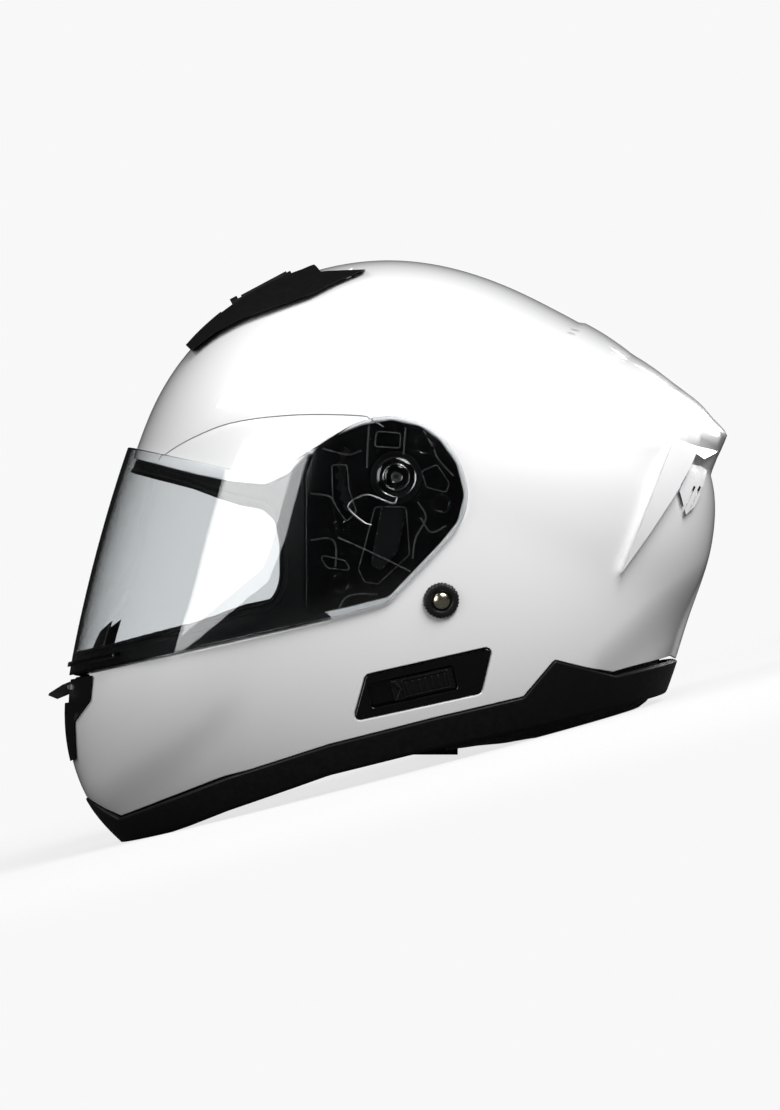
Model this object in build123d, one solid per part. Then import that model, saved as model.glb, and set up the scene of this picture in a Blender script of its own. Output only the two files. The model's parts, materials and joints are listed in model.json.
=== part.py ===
from build123d import *
import math
import os
from functools import lru_cache

import numpy as np

# Full-face motorcycle helmet, size M, as it stands on a table.
# Everything is drawn in a wearing frame: origin on the visor axis at mid-width, +X to the wearer's
# left, +Y to the back of the head, +Z up, millimetres. At the end every piece is turned by
# STANDING_TILT about X and lifted, so that the helmet stands on its chin rim and neck roll at z = 0.

# ---- driving dimensions ----
HALF_WIDTH = 127.0        # bare shell, at the visor axis
SIDE_ROUNDNESS = 2.4      # exponent of the side-view shrink: 2 is an ellipsoid, more is flatter sides
SHELL_THICKNESS = 4.5
LINER_GAP = 5.0           # inset of the foam's outer face
FOAM_INNER = 33.0         # inset of the foam's inner face
STANDING_TILT = 14.7      # degrees from wearing attitude to standing on the rim
VISOR_HALF_WIDTH = 129.8
VISOR_THICKNESS = 2.2
HUB_RADIUS = 6.2
RUNNING_GAP = 0.07
SUN_RADIUS = 115.5
SUN_HALF_WIDTH = 116.0
SUN_THICKNESS = 2.0
SUN_ARM_X = 102.0
SUN_TRAVEL = 34.0         # degrees
RIVET_AT = (22.1, -60.5)
RIVET_WASHER_RADIUS = 8.7
STRAP_WIDTH = 22.0
STRAP_THICKNESS = 1.8

# Side-view outline of the bare shell at mid-width, (y, z), clockwise from the back of the visor axis.
# Below the rim it runs on as an imaginary closed bottom.
SHELL_OUTLINE = [
    (161, 0), (162.3, -22), (158, -45), (150, -68), (143, -90), (128, -128), (96, -172), (45, -206),
    (-15, -222), (-72, -218), (-114, -203), (-139, -184), (-155, -166), (-164.5, -144), (-168, -122),
    (-165.5, -97), (-156, -60), (-144, -20), (-132, 16), (-123.5, 37.5), (-110, 60), (-88, 82.5),
    (-60, 99.5), (-30, 109.2), (0, 111.8), (30, 107.5), (60, 97), (90, 81.5), (118, 62), (142, 35),
]
# How far the visor's face stands out of that outline, by clockwise angle from the back in degrees.
VISOR_STANDOFF = [(0, 2.8), (60, 2.8), (120, 1.6), (145, 0.4), (152, 1.2), (160, 3.2), (172, 4.3),
                  (185, 4.6), (200, 4.2), (240, 3.2), (300, 2.8)]

# Side-view outlines, (y, z).
EYE_PORT = [(-230, 35.5), (-54, -16.5), (-54, -74.5), (-230, -111)]
VISOR_POD = [(-28.5, 22), (-17, 27.6), (-2.5, 30.1), (12.8, 26.5), (22.8, 19.4), (31.5, 7.3),
             (35.4, -8.7), (32.1, -22.7), (22.8, -34), (9.5, -47.9), (-2.5, -60.7)]
TRIM_TOP = [(-220, -125), (-155.3, -162.9), (-147, -167.6), (-139.6, -171.2), (-117.8, -162.2),
            (-84.7, -148.9), (-33.7, -132.1), (19.7, -118.5), (63, -108.5), (78.4, -90.3),
            (109.7, -98.4), (141.1, -91.6), (220, -75)]
TRIM_BOTTOM = [(-220, -205), (-136, -183.6), (-125.5, -180.4), (-105, -172.8), (-84.7, -164.4),
               (-54, -153.4), (-33.7, -146), (6, -136), (70, -122.4), (133, -108), (220, -88)]
TOP_VENT = [(-103, 64.8), (-90.8, 73.6), (-77.6, 80), (-53, 88.2), (-41.8, 92), (-28.9, 98.9),
            (-15.3, 105), (-38, 104.6), (-60, 135), (-140, 100)]
CHIN_VENT = [(-152.2, -98.6), (-153.3, -111), (-162.2, -122.3), (-162.2, -141.7), (-200, -158),
             (-200, -98.6)]
SIDE_PANEL = [(-15.1, -97.4), (47.6, -83.3), (42.1, -106.8), (-21.5, -120.7)]
TAIL_TOP = [(96, 79.7), (119.3, 62.9), (139.7, 47.8), (160, 31.2), (167, 25.6), (168.8, 22.6)]
TAIL_HALF_ANGLE = 44      # how far round the back the tail fades out, degrees of skin turn
TAIL_ROOT_INSET = 3.0     # how deep the tail reaches into the shell's wall
REAR_FIN = [(138.7, 19.4), (152.6, 23.2), (164, 24), (168.6, 21.8), (160.4, 6.5), (150.5, 12.5),
            (147.4, 6.1), (139.2, -8.1), (127.5, -25.5), (115.8, -41.8), (111.7, -47.3)]
FLAP_AXIS = (-165.0, -105.0)
FLAP_PIN_RADIUS = 1.3
PANEL_SLOPE = 12.7        # degrees from level, in the side view
SLIDER_LENGTH = 31.0
SLIDER_TRAVEL = 11.0
MECHANISM = [(-44.5, 0.5), (-40, 14), (-31, 20), (-17, 25.6), (-2.5, 28.1), (12, 24.8), (21.4, 18),
             (29.6, 6.6), (33.4, -8.7), (30.2, -21.8), (21.4, -32.6), (8.2, -46.4), (-3.8, -59),
             (-24, -64), (-44.5, -68.4)]
MECHANISM_SCREWS = [(-27.5, -52.5), (14.0, 15.8), (22.0, -13.0)]
LEVER_POCKET = [(-9, -8), (-18.5, -45.4), (-15.5, -51.5), (-9, -52.5), (6.5, -38), (9, -8)]
LEVER = [(-6.4, -10), (-12.5, -43), (-7.5, -46), (1.0, -36), (6.4, -10)]
POD_RECESS_RADIUS = 37.2
POD_RECESS_FLOOR = 124.3  # |x| of the flat that the visor's round pods turn over
POCKET_FLOOR = 120.9      # |x| of the floor that the release lever lies on
PORT_CORNER_RADII = {1: 24, 2: 19}


# ---- the ovoid that every layer is nested in ----
def periodic_spline(knots, values, at):
    """Cubic spline through values at knots (degrees), closed after a full turn."""
    knots = np.radians(knots)
    values = np.asarray(values, float)
    count = len(knots)
    step = np.diff(np.append(knots, knots[0] + 2 * np.pi))
    matrix = np.zeros((count, count))
    right = np.zeros(count)
    for i in range(count):
        before, after = step[i - 1], step[i]
        following = (i + 1) % count
        matrix[i, i - 1] += before
        matrix[i, i] += 2 * (before + after)
        matrix[i, following] += after
        right[i] = 6 * ((values[following] - values[i]) / after - (values[i] - values[i - 1]) / before)
    bend = np.linalg.solve(matrix, right)
    at = (np.asarray(at, float) - knots[0]) % (2 * np.pi) + knots[0]
    k = np.clip(np.searchsorted(knots, at, side="right") - 1, 0, count - 1)
    k_next = (k + 1) % count
    span = step[k]
    a = (knots[k] + span - at) / span
    c = (at - knots[k]) / span
    curve = ((a**3 - a) * bend[k] + (c**3 - c) * bend[k_next]) * span**2 / 6
    return a * values[k] + c * values[k_next] + curve


def shell_radius(angle):
    """Radius of the mid-width outline at a clockwise angle from the back, in radians."""
    points = np.array(SHELL_OUTLINE, float)
    knots = np.degrees(-np.unwrap(np.arctan2(points[:, 1], points[:, 0])))
    return periodic_spline(knots, np.hypot(points[:, 0], points[:, 1]), angle)


def visor_radius(angle):
    knots, standoffs = zip(*VISOR_STANDOFF)
    return shell_radius(angle) + periodic_spline(knots, standoffs, angle)


@lru_cache(maxsize=None)
def skin(inset, half_width=HALF_WIDTH, radius=shell_radius, grow=0.0):
    """Closed ovoid at an inset from the outer face, lofted through sections across the width."""
    angles = np.linspace(0, 2 * np.pi, 32, endpoint=False)
    radii = radius(angles) - inset + grow
    sections = []
    for turn in np.radians(np.linspace(-82, 82, 11)):
        x = (half_width - inset) * math.sin(turn)
        shrink = math.cos(turn) ** (2 / SIDE_ROUNDNESS)
        points = [
            Vector(x, shrink * r * math.cos(a), -shrink * r * math.sin(a)) for r, a in zip(radii, angles)
        ]
        sections.append(Wire([Edge.make_spline(points, periodic=True)]))
    return Solid.make_loft(sections, False)


def layer(outer, inner):
    """The wall between two insets."""
    return skin(outer) - skin(inner)


def visor_skin(inset):
    return skin(inset, VISOR_HALF_WIDTH, visor_radius)


def width_at(y, z, inset=0.0):
    """Half width of the ovoid over a side-view point."""
    reach = float(shell_radius(np.array([math.atan2(-z, y)]))[0]) - inset
    flatness = 1 - (math.hypot(y, z) / reach) ** SIDE_ROUNDNESS
    return (HALF_WIDTH - inset) * math.sqrt(max(0.0, flatness))


def surface_frame(y, z, side=1):
    """Plane on the shell's face at a side-view point, with its normal outwards."""
    slope_y = width_at(y + 0.5, z) - width_at(y - 0.5, z)
    slope_z = width_at(y, z + 0.5) - width_at(y, z - 0.5)
    normal = Vector(side, -slope_y, -slope_z).normalized()
    return Plane(origin=(side * width_at(y, z), y, z), x_dir=(side * slope_y, 1, 0), z_dir=normal)


# ---- helpers ----
def outline(points, radii=None):
    """Face in the side view from (y, z) points, with some corners rounded."""
    face = make_face(Polyline(*[(0, y, z) for y, z in points], close=True).edges()).face()
    corners = {}
    for index, radius in (radii or {}).items():
        corner = Vector(0, *points[index])
        corners[index] = min(face.vertices(), key=lambda v: (Vector(v.X, v.Y, v.Z) - corner).length)
    for index, vertex in corners.items():
        near = Vector(vertex.X, vertex.Y, vertex.Z)
        vertex = min(face.vertices(), key=lambda v: (Vector(v.X, v.Y, v.Z) - near).length)
        face = face.fillet_2d(radii[index], [vertex])
    return face


def across(face, low=-200, high=200):
    """A side-view face carried across the width from x = low to x = high."""
    return Pos(low, 0, 0) * extrude(face, amount=high - low, dir=(1, 0, 0))


def grown(face, amount):
    turned = Plane.YZ.to_local_coords(face)
    return Plane.YZ.from_local_coords(offset(turned, amount, kind=Kind.ARC))


def below(line, drop=0.0, far=-420):
    """Everything under a line that runs from the front to the back."""
    lowered = [(y, z - drop) for y, z in line]
    return across(outline(lowered + [(line[-1][0], far), (line[0][0], far)]))


def both(make):
    """A left and a right copy, one compound."""
    return Compound([make(1), make(-1)])


def along_x(radius, y, z, start, end, side=1):
    low = min(side * start, side * end)
    return Pos(low, y, z) * (Rot(0, 90, 0) * Cylinder(radius, abs(end - start), align=(
        Align.CENTER, Align.CENTER, Align.MIN)))


def half(side):
    """All space on one side of the helmet."""
    return Pos(side * 150, 0, 0) * Box(300, 700, 700)


# ---- side-view shapes used more than once ----
def port_face():
    return outline(EYE_PORT, PORT_CORNER_RADII)


def visor_face():
    pod = Spline(*[(0, y, z) for y, z in VISOR_POD])
    top = Polyline((0, -230, 38), (0, -82, 4.1), (0, -62, 3.0))
    rise = Spline((0, -62, 3.0), (0, -49, 9.2), (0, *VISOR_POD[0]), tangents=((0, 1, 0.1), (0, 1, 0.62)))
    corners = [VISOR_POD[-1], (-6.6, -62.7), (-28.6, -68.7), (-230, -114), (-230, 38)]
    foot = Polyline(*[(0, y, z) for y, z in corners])
    return make_face(Wire(top.edges() + rise.edges() + pod.edges() + foot.edges()).edges()).face()


def visor_rebate():
    """Step along the bottom of the eye port that the visor's lower edge closes into."""
    strip = outline([(-62, -66), (-62, -84), (-240, -128), (-240, -96)])
    return (grown(visor_face(), 0.8) & strip).face()


def mechanism_face():
    return outline(MECHANISM, {0: 5, 14: 4})


def sun_shell(outer, inner, start, end):
    """Part of the wall that the sun visor sweeps, from start to end degrees (180 is straight ahead)."""
    def edge(depth):
        xs = np.linspace(-SUN_ARM_X, SUN_ARM_X, 9)
        rs = (SUN_RADIUS - depth) * (1 - (xs / (SUN_HALF_WIDTH - depth)) ** 2) ** (1 / SIDE_ROUNDNESS)
        return Spline(*[(x, r, 0) for x, r in zip(xs, rs)])
    outside, inside = edge(outer), edge(inner)
    face = make_face([outside, inside, Line(outside @ 0, inside @ 0), Line(outside @ 1, inside @ 1)])
    return Rot(start, 0, 0) * revolve(face, Axis.X, end - start)


def sector(radius, start, end, x_low, x_high):
    """Disc sector about the visor axis between two angles, from x_low to x_high."""
    corners = [(0.0, 0.0)]
    for angle in np.radians(np.linspace(start, end, 9)):
        corners.append((radius * math.cos(angle), radius * math.sin(angle)))
    return across(outline(corners), x_low, x_high)


# ---- hard outer pieces ----
def outer_shell():
    shell = layer(0, SHELL_THICKNESS) - (across(visor_rebate()) - skin(2.9))
    shell -= below(TRIM_TOP)
    tongue = layer(2.1, SHELL_THICKNESS) & (below(TRIM_TOP, -3) - below(TRIM_BOTTOM, -4.3))
    shell = shell + tongue + tail_ridge()
    shell -= across(grown(port_face(), 3.5))
    shell -= both(lambda side: along_x(POD_RECESS_RADIUS, 0, 0, POD_RECESS_FLOOR, 140, side))
    shell -= across(grown(mechanism_face(), 0.1))
    shell -= across(side_panel_face(), 0)
    shell -= across(outline(CHIN_VENT))
    shell -= top_vent_pocket()
    shell -= brow_oval(0)
    shell -= both(lambda side: surface_frame(*RIVET_AT, side) * Cylinder(3.2, 40))
    return shell


def tail_ridge():
    """Ridge that rises from the crown to the tail tip and fades out round both sides."""
    sections = []
    for turn in np.radians(np.linspace(-TAIL_HALF_ANGLE, TAIL_HALF_ANGLE, 9)):
        shrink = math.cos(turn) ** (2 / SIDE_ROUNDNESS)
        height = math.cos(turn * 90 / (TAIL_HALF_ANGLE + 2)) ** 0.8
        ring = []
        for y, z in TAIL_TOP:
            base = float(shell_radius(np.array([math.atan2(-z, y)]))[0])
            reach = math.hypot(y, z)
            ring.append((y, z, (base - 0.6 + height * (reach - base + 0.6)) / reach))
        for angle in np.radians(np.linspace(3, 36, 8)):
            depth = float(shell_radius(np.array([-angle]))[0]) - TAIL_ROOT_INSET
            ring.append((math.cos(angle), math.sin(angle), depth))
        x = (HALF_WIDTH - 1) * math.sin(turn)
        corners = [(x, shrink * k * y, shrink * k * z) for y, z, k in ring]
        sections.append(Polyline(*corners, close=True).wire())
    return Solid.make_loft(sections, False)


def base_trim():
    lip = below(TRIM_TOP) - below(TRIM_BOTTOM)
    wall = layer(-1.0, 2.0) & lip
    foot = layer(-1.0, 6.6) & (below(TRIM_BOTTOM, -4) - below(TRIM_BOTTOM))
    return wall + foot - standing_ground()


def standing_ground():
    """Everything under the plane that the helmet stands on."""
    return Rot(STANDING_TILT, 0, 0) * (Pos(0, 0, -LIFT - 100) * Box(500, 700, 200))


def eyeport_gasket():
    ring = across(grown(port_face(), 3.4)) - across(grown(port_face(), -1.5))
    wall = layer(0.8, 7.4) & ring
    return (wall & visor_skin(VISOR_THICKNESS + 0.9)) - across(grown(mechanism_face(), 0.2))


def side_panel_face():
    return outline(SIDE_PANEL, {0: 2.5, 1: 2.5, 2: 2.5, 3: 2.5})


def panel_frame():
    return surface_frame(13.3, -102, 1)


def side_panel():
    """Housing of the sun visor's slider, with a slot that leaves room for its travel."""
    place = panel_frame() * Rot(0, 0, PANEL_SLOPE)
    plate = layer(0.3, 4.4) & across(grown(side_panel_face(), -0.15), 0)
    slot = place * (Pos(-SLIDER_TRAVEL / 2, 0, 1) * Box(SLIDER_LENGTH + SLIDER_TRAVEL + 1, 12, 6.4))
    floor = place * (Pos(-SLIDER_TRAVEL / 2, 0, -2.9) * Box(SLIDER_LENGTH + SLIDER_TRAVEL + 1, 12, 1.4))
    return (plate - slot) + floor


def sun_slider():
    """Ribbed thumb slider; its lip is at the front."""
    knob = Pos(0, 0, -0.9) * Box(SLIDER_LENGTH, 11, 2.3)
    knob += Pos(1.5 - SLIDER_LENGTH / 2, 0, 0.9) * Box(3, 10.4, 2.2)
    for k in range(7):
        knob += Pos(3.2 * k - 7.5, 0, 0.6) * Box(1.2, 9.4, 1.2)
    return panel_frame() * (Rot(0, 0, PANEL_SLOPE) * knob)


# ---- vents ----
VENT_SLOPE = 28.0
VENT_BED = (-66.2, 97.6)     # middle of the line that the top vent's slider runs along
VENT_DUCTS = (-13, 13)       # where the two air ducts lie across the width


def vent_frame():
    y, z = VENT_BED
    return Pos(0, y, z) * Rot(VENT_SLOPE, 0, 0)


def top_vent_pocket():
    """Recess in the shell under the top vent, with two through ducts."""
    recess = across(grown(outline(TOP_VENT), -4)) - skin(2.0)
    ducts = Compound([vent_frame() * (Pos(x, -6, 0) * Box(14, 22, 60)) for x in VENT_DUCTS])
    return Compound(recess.solids() + ducts.solids())


def top_vent_base():
    body = across(outline(TOP_VENT)) & (skin(-3.4) - skin(-0.3))
    seat = across(grown(outline(TOP_VENT), -4.3)) & (skin(-0.5) - skin(1.6))
    body = body + seat
    body -= vent_frame() * (Pos(0, 6, 9.3) * Box(40.6, 64, 20))
    body -= Compound([vent_frame() * (Pos(x, -6, 0) * Box(12, 16, 60)) for x in VENT_DUCTS])
    return body


def top_vent_slider():
    plate = Pos(0, -2, 0.55) * Box(40, 34, 1.9)
    knob = Pos(0, -17, 2.2) * Box(26, 4, 2.4)
    ribs = [Pos(x, 0, 1.9) * Box(2, 26, 1.2) for x in (-15, 15)]
    return vent_frame() * (plate + knob + ribs[0] + ribs[1])


BROW_AT = (-121.6, 41.4)
BROW_LEAN = 26.0


def brow_oval(shrink):
    """Flat oval bar through the brow, along the shell's normal there."""
    y, z = BROW_AT
    bar = extrude(Ellipse(25 - shrink, 8 - shrink), amount=15, both=True)
    return Pos(0, y, z) * (Rot(90 - BROW_LEAN, 0, 0) * bar)


def brow_inlet():
    ring = layer(0.2, SHELL_THICKNESS) & (brow_oval(0.1) - brow_oval(2))
    mesh = layer(2.5, SHELL_THICKNESS) & brow_oval(1.9)
    for k in range(-4, 5):
        y, z = BROW_AT
        mesh -= Pos(5 * k, y, z) * (Rot(90 - BROW_LEAN, 0, 0) * Box(3.2, 9, 40))
    return ring + mesh


def chin_vent():
    body = layer(-1.3, 6.5) & across(grown(outline(CHIN_VENT), -0.15))
    body -= Pos(0, -170.6, -107) * Box(54, 18, 13.5)
    for x in (-14, 0, 14):
        body -= Pos(x, -165, -130) * Box(10, 30, 12)
    body -= across(grown(visor_face(), 0.8))
    body -= across(grown(port_face(), 3.7))
    return body - along_x(FLAP_PIN_RADIUS, *FLAP_AXIS, -29.3, 29.3)


def chin_vent_flap():
    blade = outline([(-162.5, -103.6), (-164.4, -102.1), (-168.8, -103.8), (-175.6, -108.2),
                     (-176.1, -109.3), (-171.4, -111.2), (-167, -109.4), (-163.4, -107.3)])
    wing = across(blade, -26, 26)
    return wing - along_x(FLAP_PIN_RADIUS + RUNNING_GAP, *FLAP_AXIS, -30, 30)


def flap_pins():
    return both(lambda side: along_x(FLAP_PIN_RADIUS, *FLAP_AXIS, 20, 29, side))


def rear_fin():
    """White blade that wraps the back and hangs down both sides behind the tail ridge."""
    blade = skin(0, HALF_WIDTH + 1, shell_radius, 9.1) - skin(-0.1)
    fin = across(outline(REAR_FIN)) & blade
    middle = outline([(147.4, 6.1), (175, 20), (175, -60), (120, -60), (124, -30)])
    return fin - across(middle, -60, 60) - tail_ridge()


def exhaust_grille(side):
    """Slotted outlet behind the blade, on one side."""
    window = [(141.5, -6), (149, 9), (157, 4.5), (152, -12), (145, -18)]
    body = across(outline(window)) & (skin(-2.2) - skin(-0.15)) & half(side)
    for k in range(3):
        body -= Pos(side * 90, 146.5 + 3 * k, -10) * (Rot(-28, 0, 0) * Box(120, 1.2, 14))
    return body


# ---- visor and its mechanism ----
def visor_hub(side):
    return along_x(HUB_RADIUS, 0, 0, 120.3, 130.4, side) - along_x(2.5, 0, 0, 126, 131, side)


def hub_screw(side):
    head = along_x(2.45, 0, 0, 126.05, 129.6, side)
    return head - along_x(1.2, 0, 0, 128.2, 130, side)


def visor():
    shield = (visor_skin(0) - visor_skin(VISOR_THICKNESS)) & across(visor_face())
    shield += both(lambda side: along_x(9.0, 0, 0, 123.9, 130.3, side))
    shield -= both(lambda side: along_x(HUB_RADIUS + RUNNING_GAP, 0, 0, 110, 140, side))
    return shield


def lift_tab():
    """Finger ledge under the visor's lower left edge."""
    ledge = (visor_skin(-3.2) - visor_skin(-0.05)) & across(
        outline([(-166, -92.5), (-136, -86), (-136.6, -88.4), (-166.4, -95)]), 18, 80)
    return ledge


def mechanism_base(side):
    plate = layer(1.6, 6.6) & across(mechanism_face()) & half(side)
    plate -= along_x(13.4, 0, 0, POCKET_FLOOR, 140, side)
    plate -= across(outline(LEVER_POCKET), *sorted((side * POCKET_FLOOR, side * 140)))
    plate -= along_x(HUB_RADIUS, 0, 0, 100, 140, side)
    for y, z in MECHANISM_SCREWS:
        seat = width_at(y, z, 1.6) - 2.4
        plate -= along_x(1.6, y, z, 100, 140, side)
        plate -= along_x(3.3, y, z, seat, 140, side)
    return plate


def mechanism_screws(side):
    screws = []
    for y, z in MECHANISM_SCREWS:
        seat = width_at(y, z, 1.6) - 2.4
        head = along_x(3.1, y, z, seat, seat + 1.7, side) + along_x(1.55, y, z, seat - 2.2, seat + 1, side)
        screws.append(head - along_x(1.1, y, z, seat + 0.9, 140, side))
    return Compound(screws)


def detent_quadrant(side):
    """Toothed arc in front of the hub that gives the visor its stops."""
    ring = along_x(30, 0, 0, 123.2, 125.3, side) - along_x(24.5, 0, 0, 120, 130, side) - skin(1.5)
    wedge = [(0, 0), (-60, 22), (-60, -42), (-24, -42)]
    arc = ring & across(outline(wedge))
    for angle in range(172, 228, 9):
        y, z = 30.6 * math.cos(math.radians(angle)), 30.6 * math.sin(math.radians(angle))
        arc -= along_x(1.9, y, z, 120, 130, side)
    return arc


def release_lever(side):
    """Lever round the hub; pulling its foot back frees the visor."""
    start, end = POCKET_FLOOR + 0.3, POCKET_FLOOR + 1.9
    ring = along_x(12.6, 0, 0, start, end, side) - along_x(9.6, 0, 0, 120, 130, side)
    arm = across(outline(LEVER), *sorted((side * start, side * end)))
    return ring + (arm - along_x(11, 0, 0, 120, 130, side))


# ---- sun visor ----
def sun_visor():
    shield = sun_shell(0, SUN_THICKNESS, 146, 179)
    shield -= Rot(180, 0, 0) * (Pos(0, SUN_RADIUS, -4) * (Rot(90, 0, 0) * extrude(
        Ellipse(22, 13), amount=40, both=True)))
    arms = both(sun_arm)
    return shield + arms - both(lambda side: along_x(2.5 + RUNNING_GAP, 0, 0, 95, 112, side))


def sun_arm(side):
    low, high = sorted((side * 100.2, side * SUN_ARM_X))
    reach = 66.0
    blade = sector(reach, 154, 172, low, high)
    boss = along_x(6.5, 0, 0, 100.2, SUN_ARM_X, side)
    return blade + boss


def sun_visor_pin(side):
    return along_x(2.5, 0, 0, 99.6, 108, side) + along_x(5, 0, 0, 102.6, 108, side)


def sun_room():
    """Slot that the sun visor needs in the foam, for its whole travel."""
    wall = sun_shell(-30, SUN_THICKNESS + 1.6, 141, 215)
    slots = [sector(71, 146, 214, *sorted((side * 99.0, side * 103.4))) for side in (1, -1)]
    bosses = [along_x(9.5, 0, 0, 99.0, 108.2, side) for side in (1, -1)]
    return [wall] + slots + bosses


# ---- foam and soft liner ----
def foam_cut(foam):
    foam -= across(grown(mechanism_face(), 0.6)) - skin(7.0)
    foam -= top_duct_holes()
    foam -= both(lambda side: surface_frame(*RIVET_AT, side) * Cylinder(17, 26))
    foam -= both(strap_slot)
    return foam


def top_duct_holes():
    return Compound([vent_frame() * (Pos(x, -6, -15) * Box(9, 12, 70)) for x in VENT_DUCTS])


def eps_liner():
    foam = layer(LINER_GAP, FOAM_INNER)
    foam -= across(grown(port_face(), 3.9))
    foam -= below(TRIM_BOTTOM, -9)
    foam -= across(outline([(-230, -70), (-57, -70), (-57, -230), (-230, -230)]))
    foam -= neck_room(0.4)
    for room in sun_room():
        foam -= room
    return foam_cut(foam)


def eps_chin_block():
    foam = layer(LINER_GAP + 2.2, 21)
    foam &= across(outline([(-230, -126), (-152, -101.5), (-57.6, -79.5), (-57.6, -180), (-230, -230)]))
    foam -= below(TRIM_BOTTOM, -7.5)
    foam -= across(grown(port_face(), 4.2))
    return foam


def crown_pad():
    pad = layer(FOAM_INNER + 0.4, 41) & across(
        outline([(-60, 12), (-30, 2), (40, -12), (130, -30), (160, 60), (60, 140), (-100, 140)]))
    return pad


def cheek_pad(side):
    wedge = [(-88, -101), (-62, -84), (-49, -80), (-46, -62), (-40, -24), (-22, -16), (14, -22),
             (22, -50), (20, -131), (-10, -139), (-50, -153.5), (-80, -164)]
    opening = extrude(Ellipse(60, 118), amount=230, both=True)
    pad = skin(FOAM_INNER + 0.4) & across(outline(wedge, {0: 8, 4: 6, 5: 8, 6: 6})) & half(side)
    return pad - opening - strap_slot(side)


def neck_room(gap):
    floor = [(24 - gap, -90 + gap), (150, -66 + gap), (150, -140), (24 - gap, -155)]
    return across(outline(floor)) - skin(40 + gap)


def neck_roll():
    """Soft collar that closes the back of the opening and carries the helmet when it stands."""
    floor = [(24, -90), (150, -66), (150, -104), (133, -108.3), (112, -110), (24, -150)]
    roll = across(outline(floor)) & layer(7.2, 36)
    low = [(24, -137), (80, -126.9), (112, -118.5), (131, -109.5), (112, -104), (24, -120)]
    hanging = across(outline(low)) & layer(7.2, 30)
    roll = (roll - below(TRIM_BOTTOM, 0)) + hanging
    return roll - both(strap_slot) - standing_ground()


def chin_curtain():
    """Fabric flap that closes the gap under the chin."""
    sheet = [(-138, -180.2), (-84, -163.6), (-84, -161.6), (-138, -178.2)]
    flap = across(outline(sheet)) & skin(7.4)
    return flap - (Pos(0, -58, -160) * extrude(Ellipse(48, 52), amount=60, both=True))


def breath_guard():
    profile = [(-157, -92), (-149, -77), (-136, -66.3), (-124, -68.9), (-118, -80), (-110, -87),
               (-110, -96)]
    return (skin(11.0) - skin(12.8)) & across(outline(profile), -42, 42)


# ---- chin strap ----
STRAP_Y = 18.0
STRAP_PATH = [(113.6, -50), (107.6, -72), (84, -122), (70, -136.2)]
STRAP_LEVEL = -136.2


def ribbon(points, thickness, side=1, width=STRAP_WIDTH, y=STRAP_Y):
    """Flat band through (x, z) points with rounded bends, its width along Y."""
    corners = [(side * x, y, z) for x, z in points]
    line = FilletPolyline(*corners, radius=7) if len(corners) > 2 else Line(*corners)
    start = Plane(origin=line @ 0, x_dir=(0, 1, 0), z_dir=line % 0)
    return sweep(start * Rectangle(width, thickness), path=line)


def strap(side):
    """Webbing from the shell's rivet to the buckle on the left, or to the ratchet strip on the right."""
    end = 50.2 if side > 0 else 20
    band = ribbon(STRAP_PATH + [(end, STRAP_LEVEL)], STRAP_THICKNESS, side)
    return band - surface_frame(*RIVET_AT, side) * Cylinder(3.05, 60)


def strap_slot(side):
    path = [(116.5, -39.4)] + STRAP_PATH[1:3] + [(58, -148.8)]
    return ribbon(path, STRAP_THICKNESS + 6, side, STRAP_WIDTH + 3)


def strap_anchor(side):
    """Steel plate that holds the strap's end inside the shell."""
    frame = surface_frame(*RIVET_AT, side)
    return frame * (Pos(-3, 0, -8.6) * Box(22, 14, 1.6) - Cylinder(3.05, 60))


def rivet(side):
    frame = surface_frame(*RIVET_AT, side)
    dome = Pos(0, 0, 2.1) * (Sphere(5.0) & (Pos(0, 0, 2.9) * Box(12, 12, 4)))
    shank = Pos(0, 0, -3.2) * Cylinder(3.0, 12.2)
    return frame * ((Pos(0, 0, -0.4) * dome) + shank)


def rivet_washer(side):
    frame = surface_frame(*RIVET_AT, side)
    ring = Pos(0, 0, 1.2) * (Cylinder(RIVET_WASHER_RADIUS, 2.2) - Cylinder(3.05, 5))
    return frame * ring


BUCKLE_X = (16, 50)
BUCKLE_Z = -135.4
LEVER_AXIS = (20.5, -132.2)


def buckle_frame():
    low, high = BUCKLE_X
    length, middle = high - low, (low + high) / 2
    tray = Pos(middle, STRAP_Y, BUCKLE_Z) * Box(length, 26, 6.4)
    tray -= Pos(middle - 3, STRAP_Y, BUCKLE_Z + 1.6) * Box(length, 21.6, 6.6)
    pin_room = Pos(LEVER_AXIS[0], STRAP_Y, LEVER_AXIS[1]) * (Rot(90, 0, 0) * Cylinder(1.25, 40))
    ears = Pos(LEVER_AXIS[0], STRAP_Y, LEVER_AXIS[1] + 0.6) * (Box(6, 26, 4.4) - Box(8, 21.6, 8))
    return tray + ears - pin_room


def buckle_lever():
    x, z = LEVER_AXIS
    barrel = Pos(x, STRAP_Y, z) * (Rot(90, 0, 0) * Cylinder(2.4, 20.6))
    tongue = Pos(x + 11.5, STRAP_Y, z + 1.0) * Box(23, 20.6, 1.8)
    bore = Pos(x, STRAP_Y, z) * (Rot(90, 0, 0) * Cylinder(1.2 + RUNNING_GAP, 40))
    return barrel + tongue - bore


def buckle_pin():
    x, z = LEVER_AXIS
    return Pos(x, STRAP_Y, z) * (Rot(90, 0, 0) * Cylinder(1.2, 25.6))


def ratchet_tongue():
    """Toothed strip on the right strap's end, pushed into the buckle."""
    x_start, x_end, z = -19.8, 44, -136.4
    strip = Pos((x_start + x_end) / 2, STRAP_Y, z) * Box(x_end - x_start, 16, 1.3)
    for k in range(14):
        strip += Pos(5 + 2.6 * k, STRAP_Y, z + 0.9) * Box(1.3, 14, 0.8)
    return strip


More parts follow.
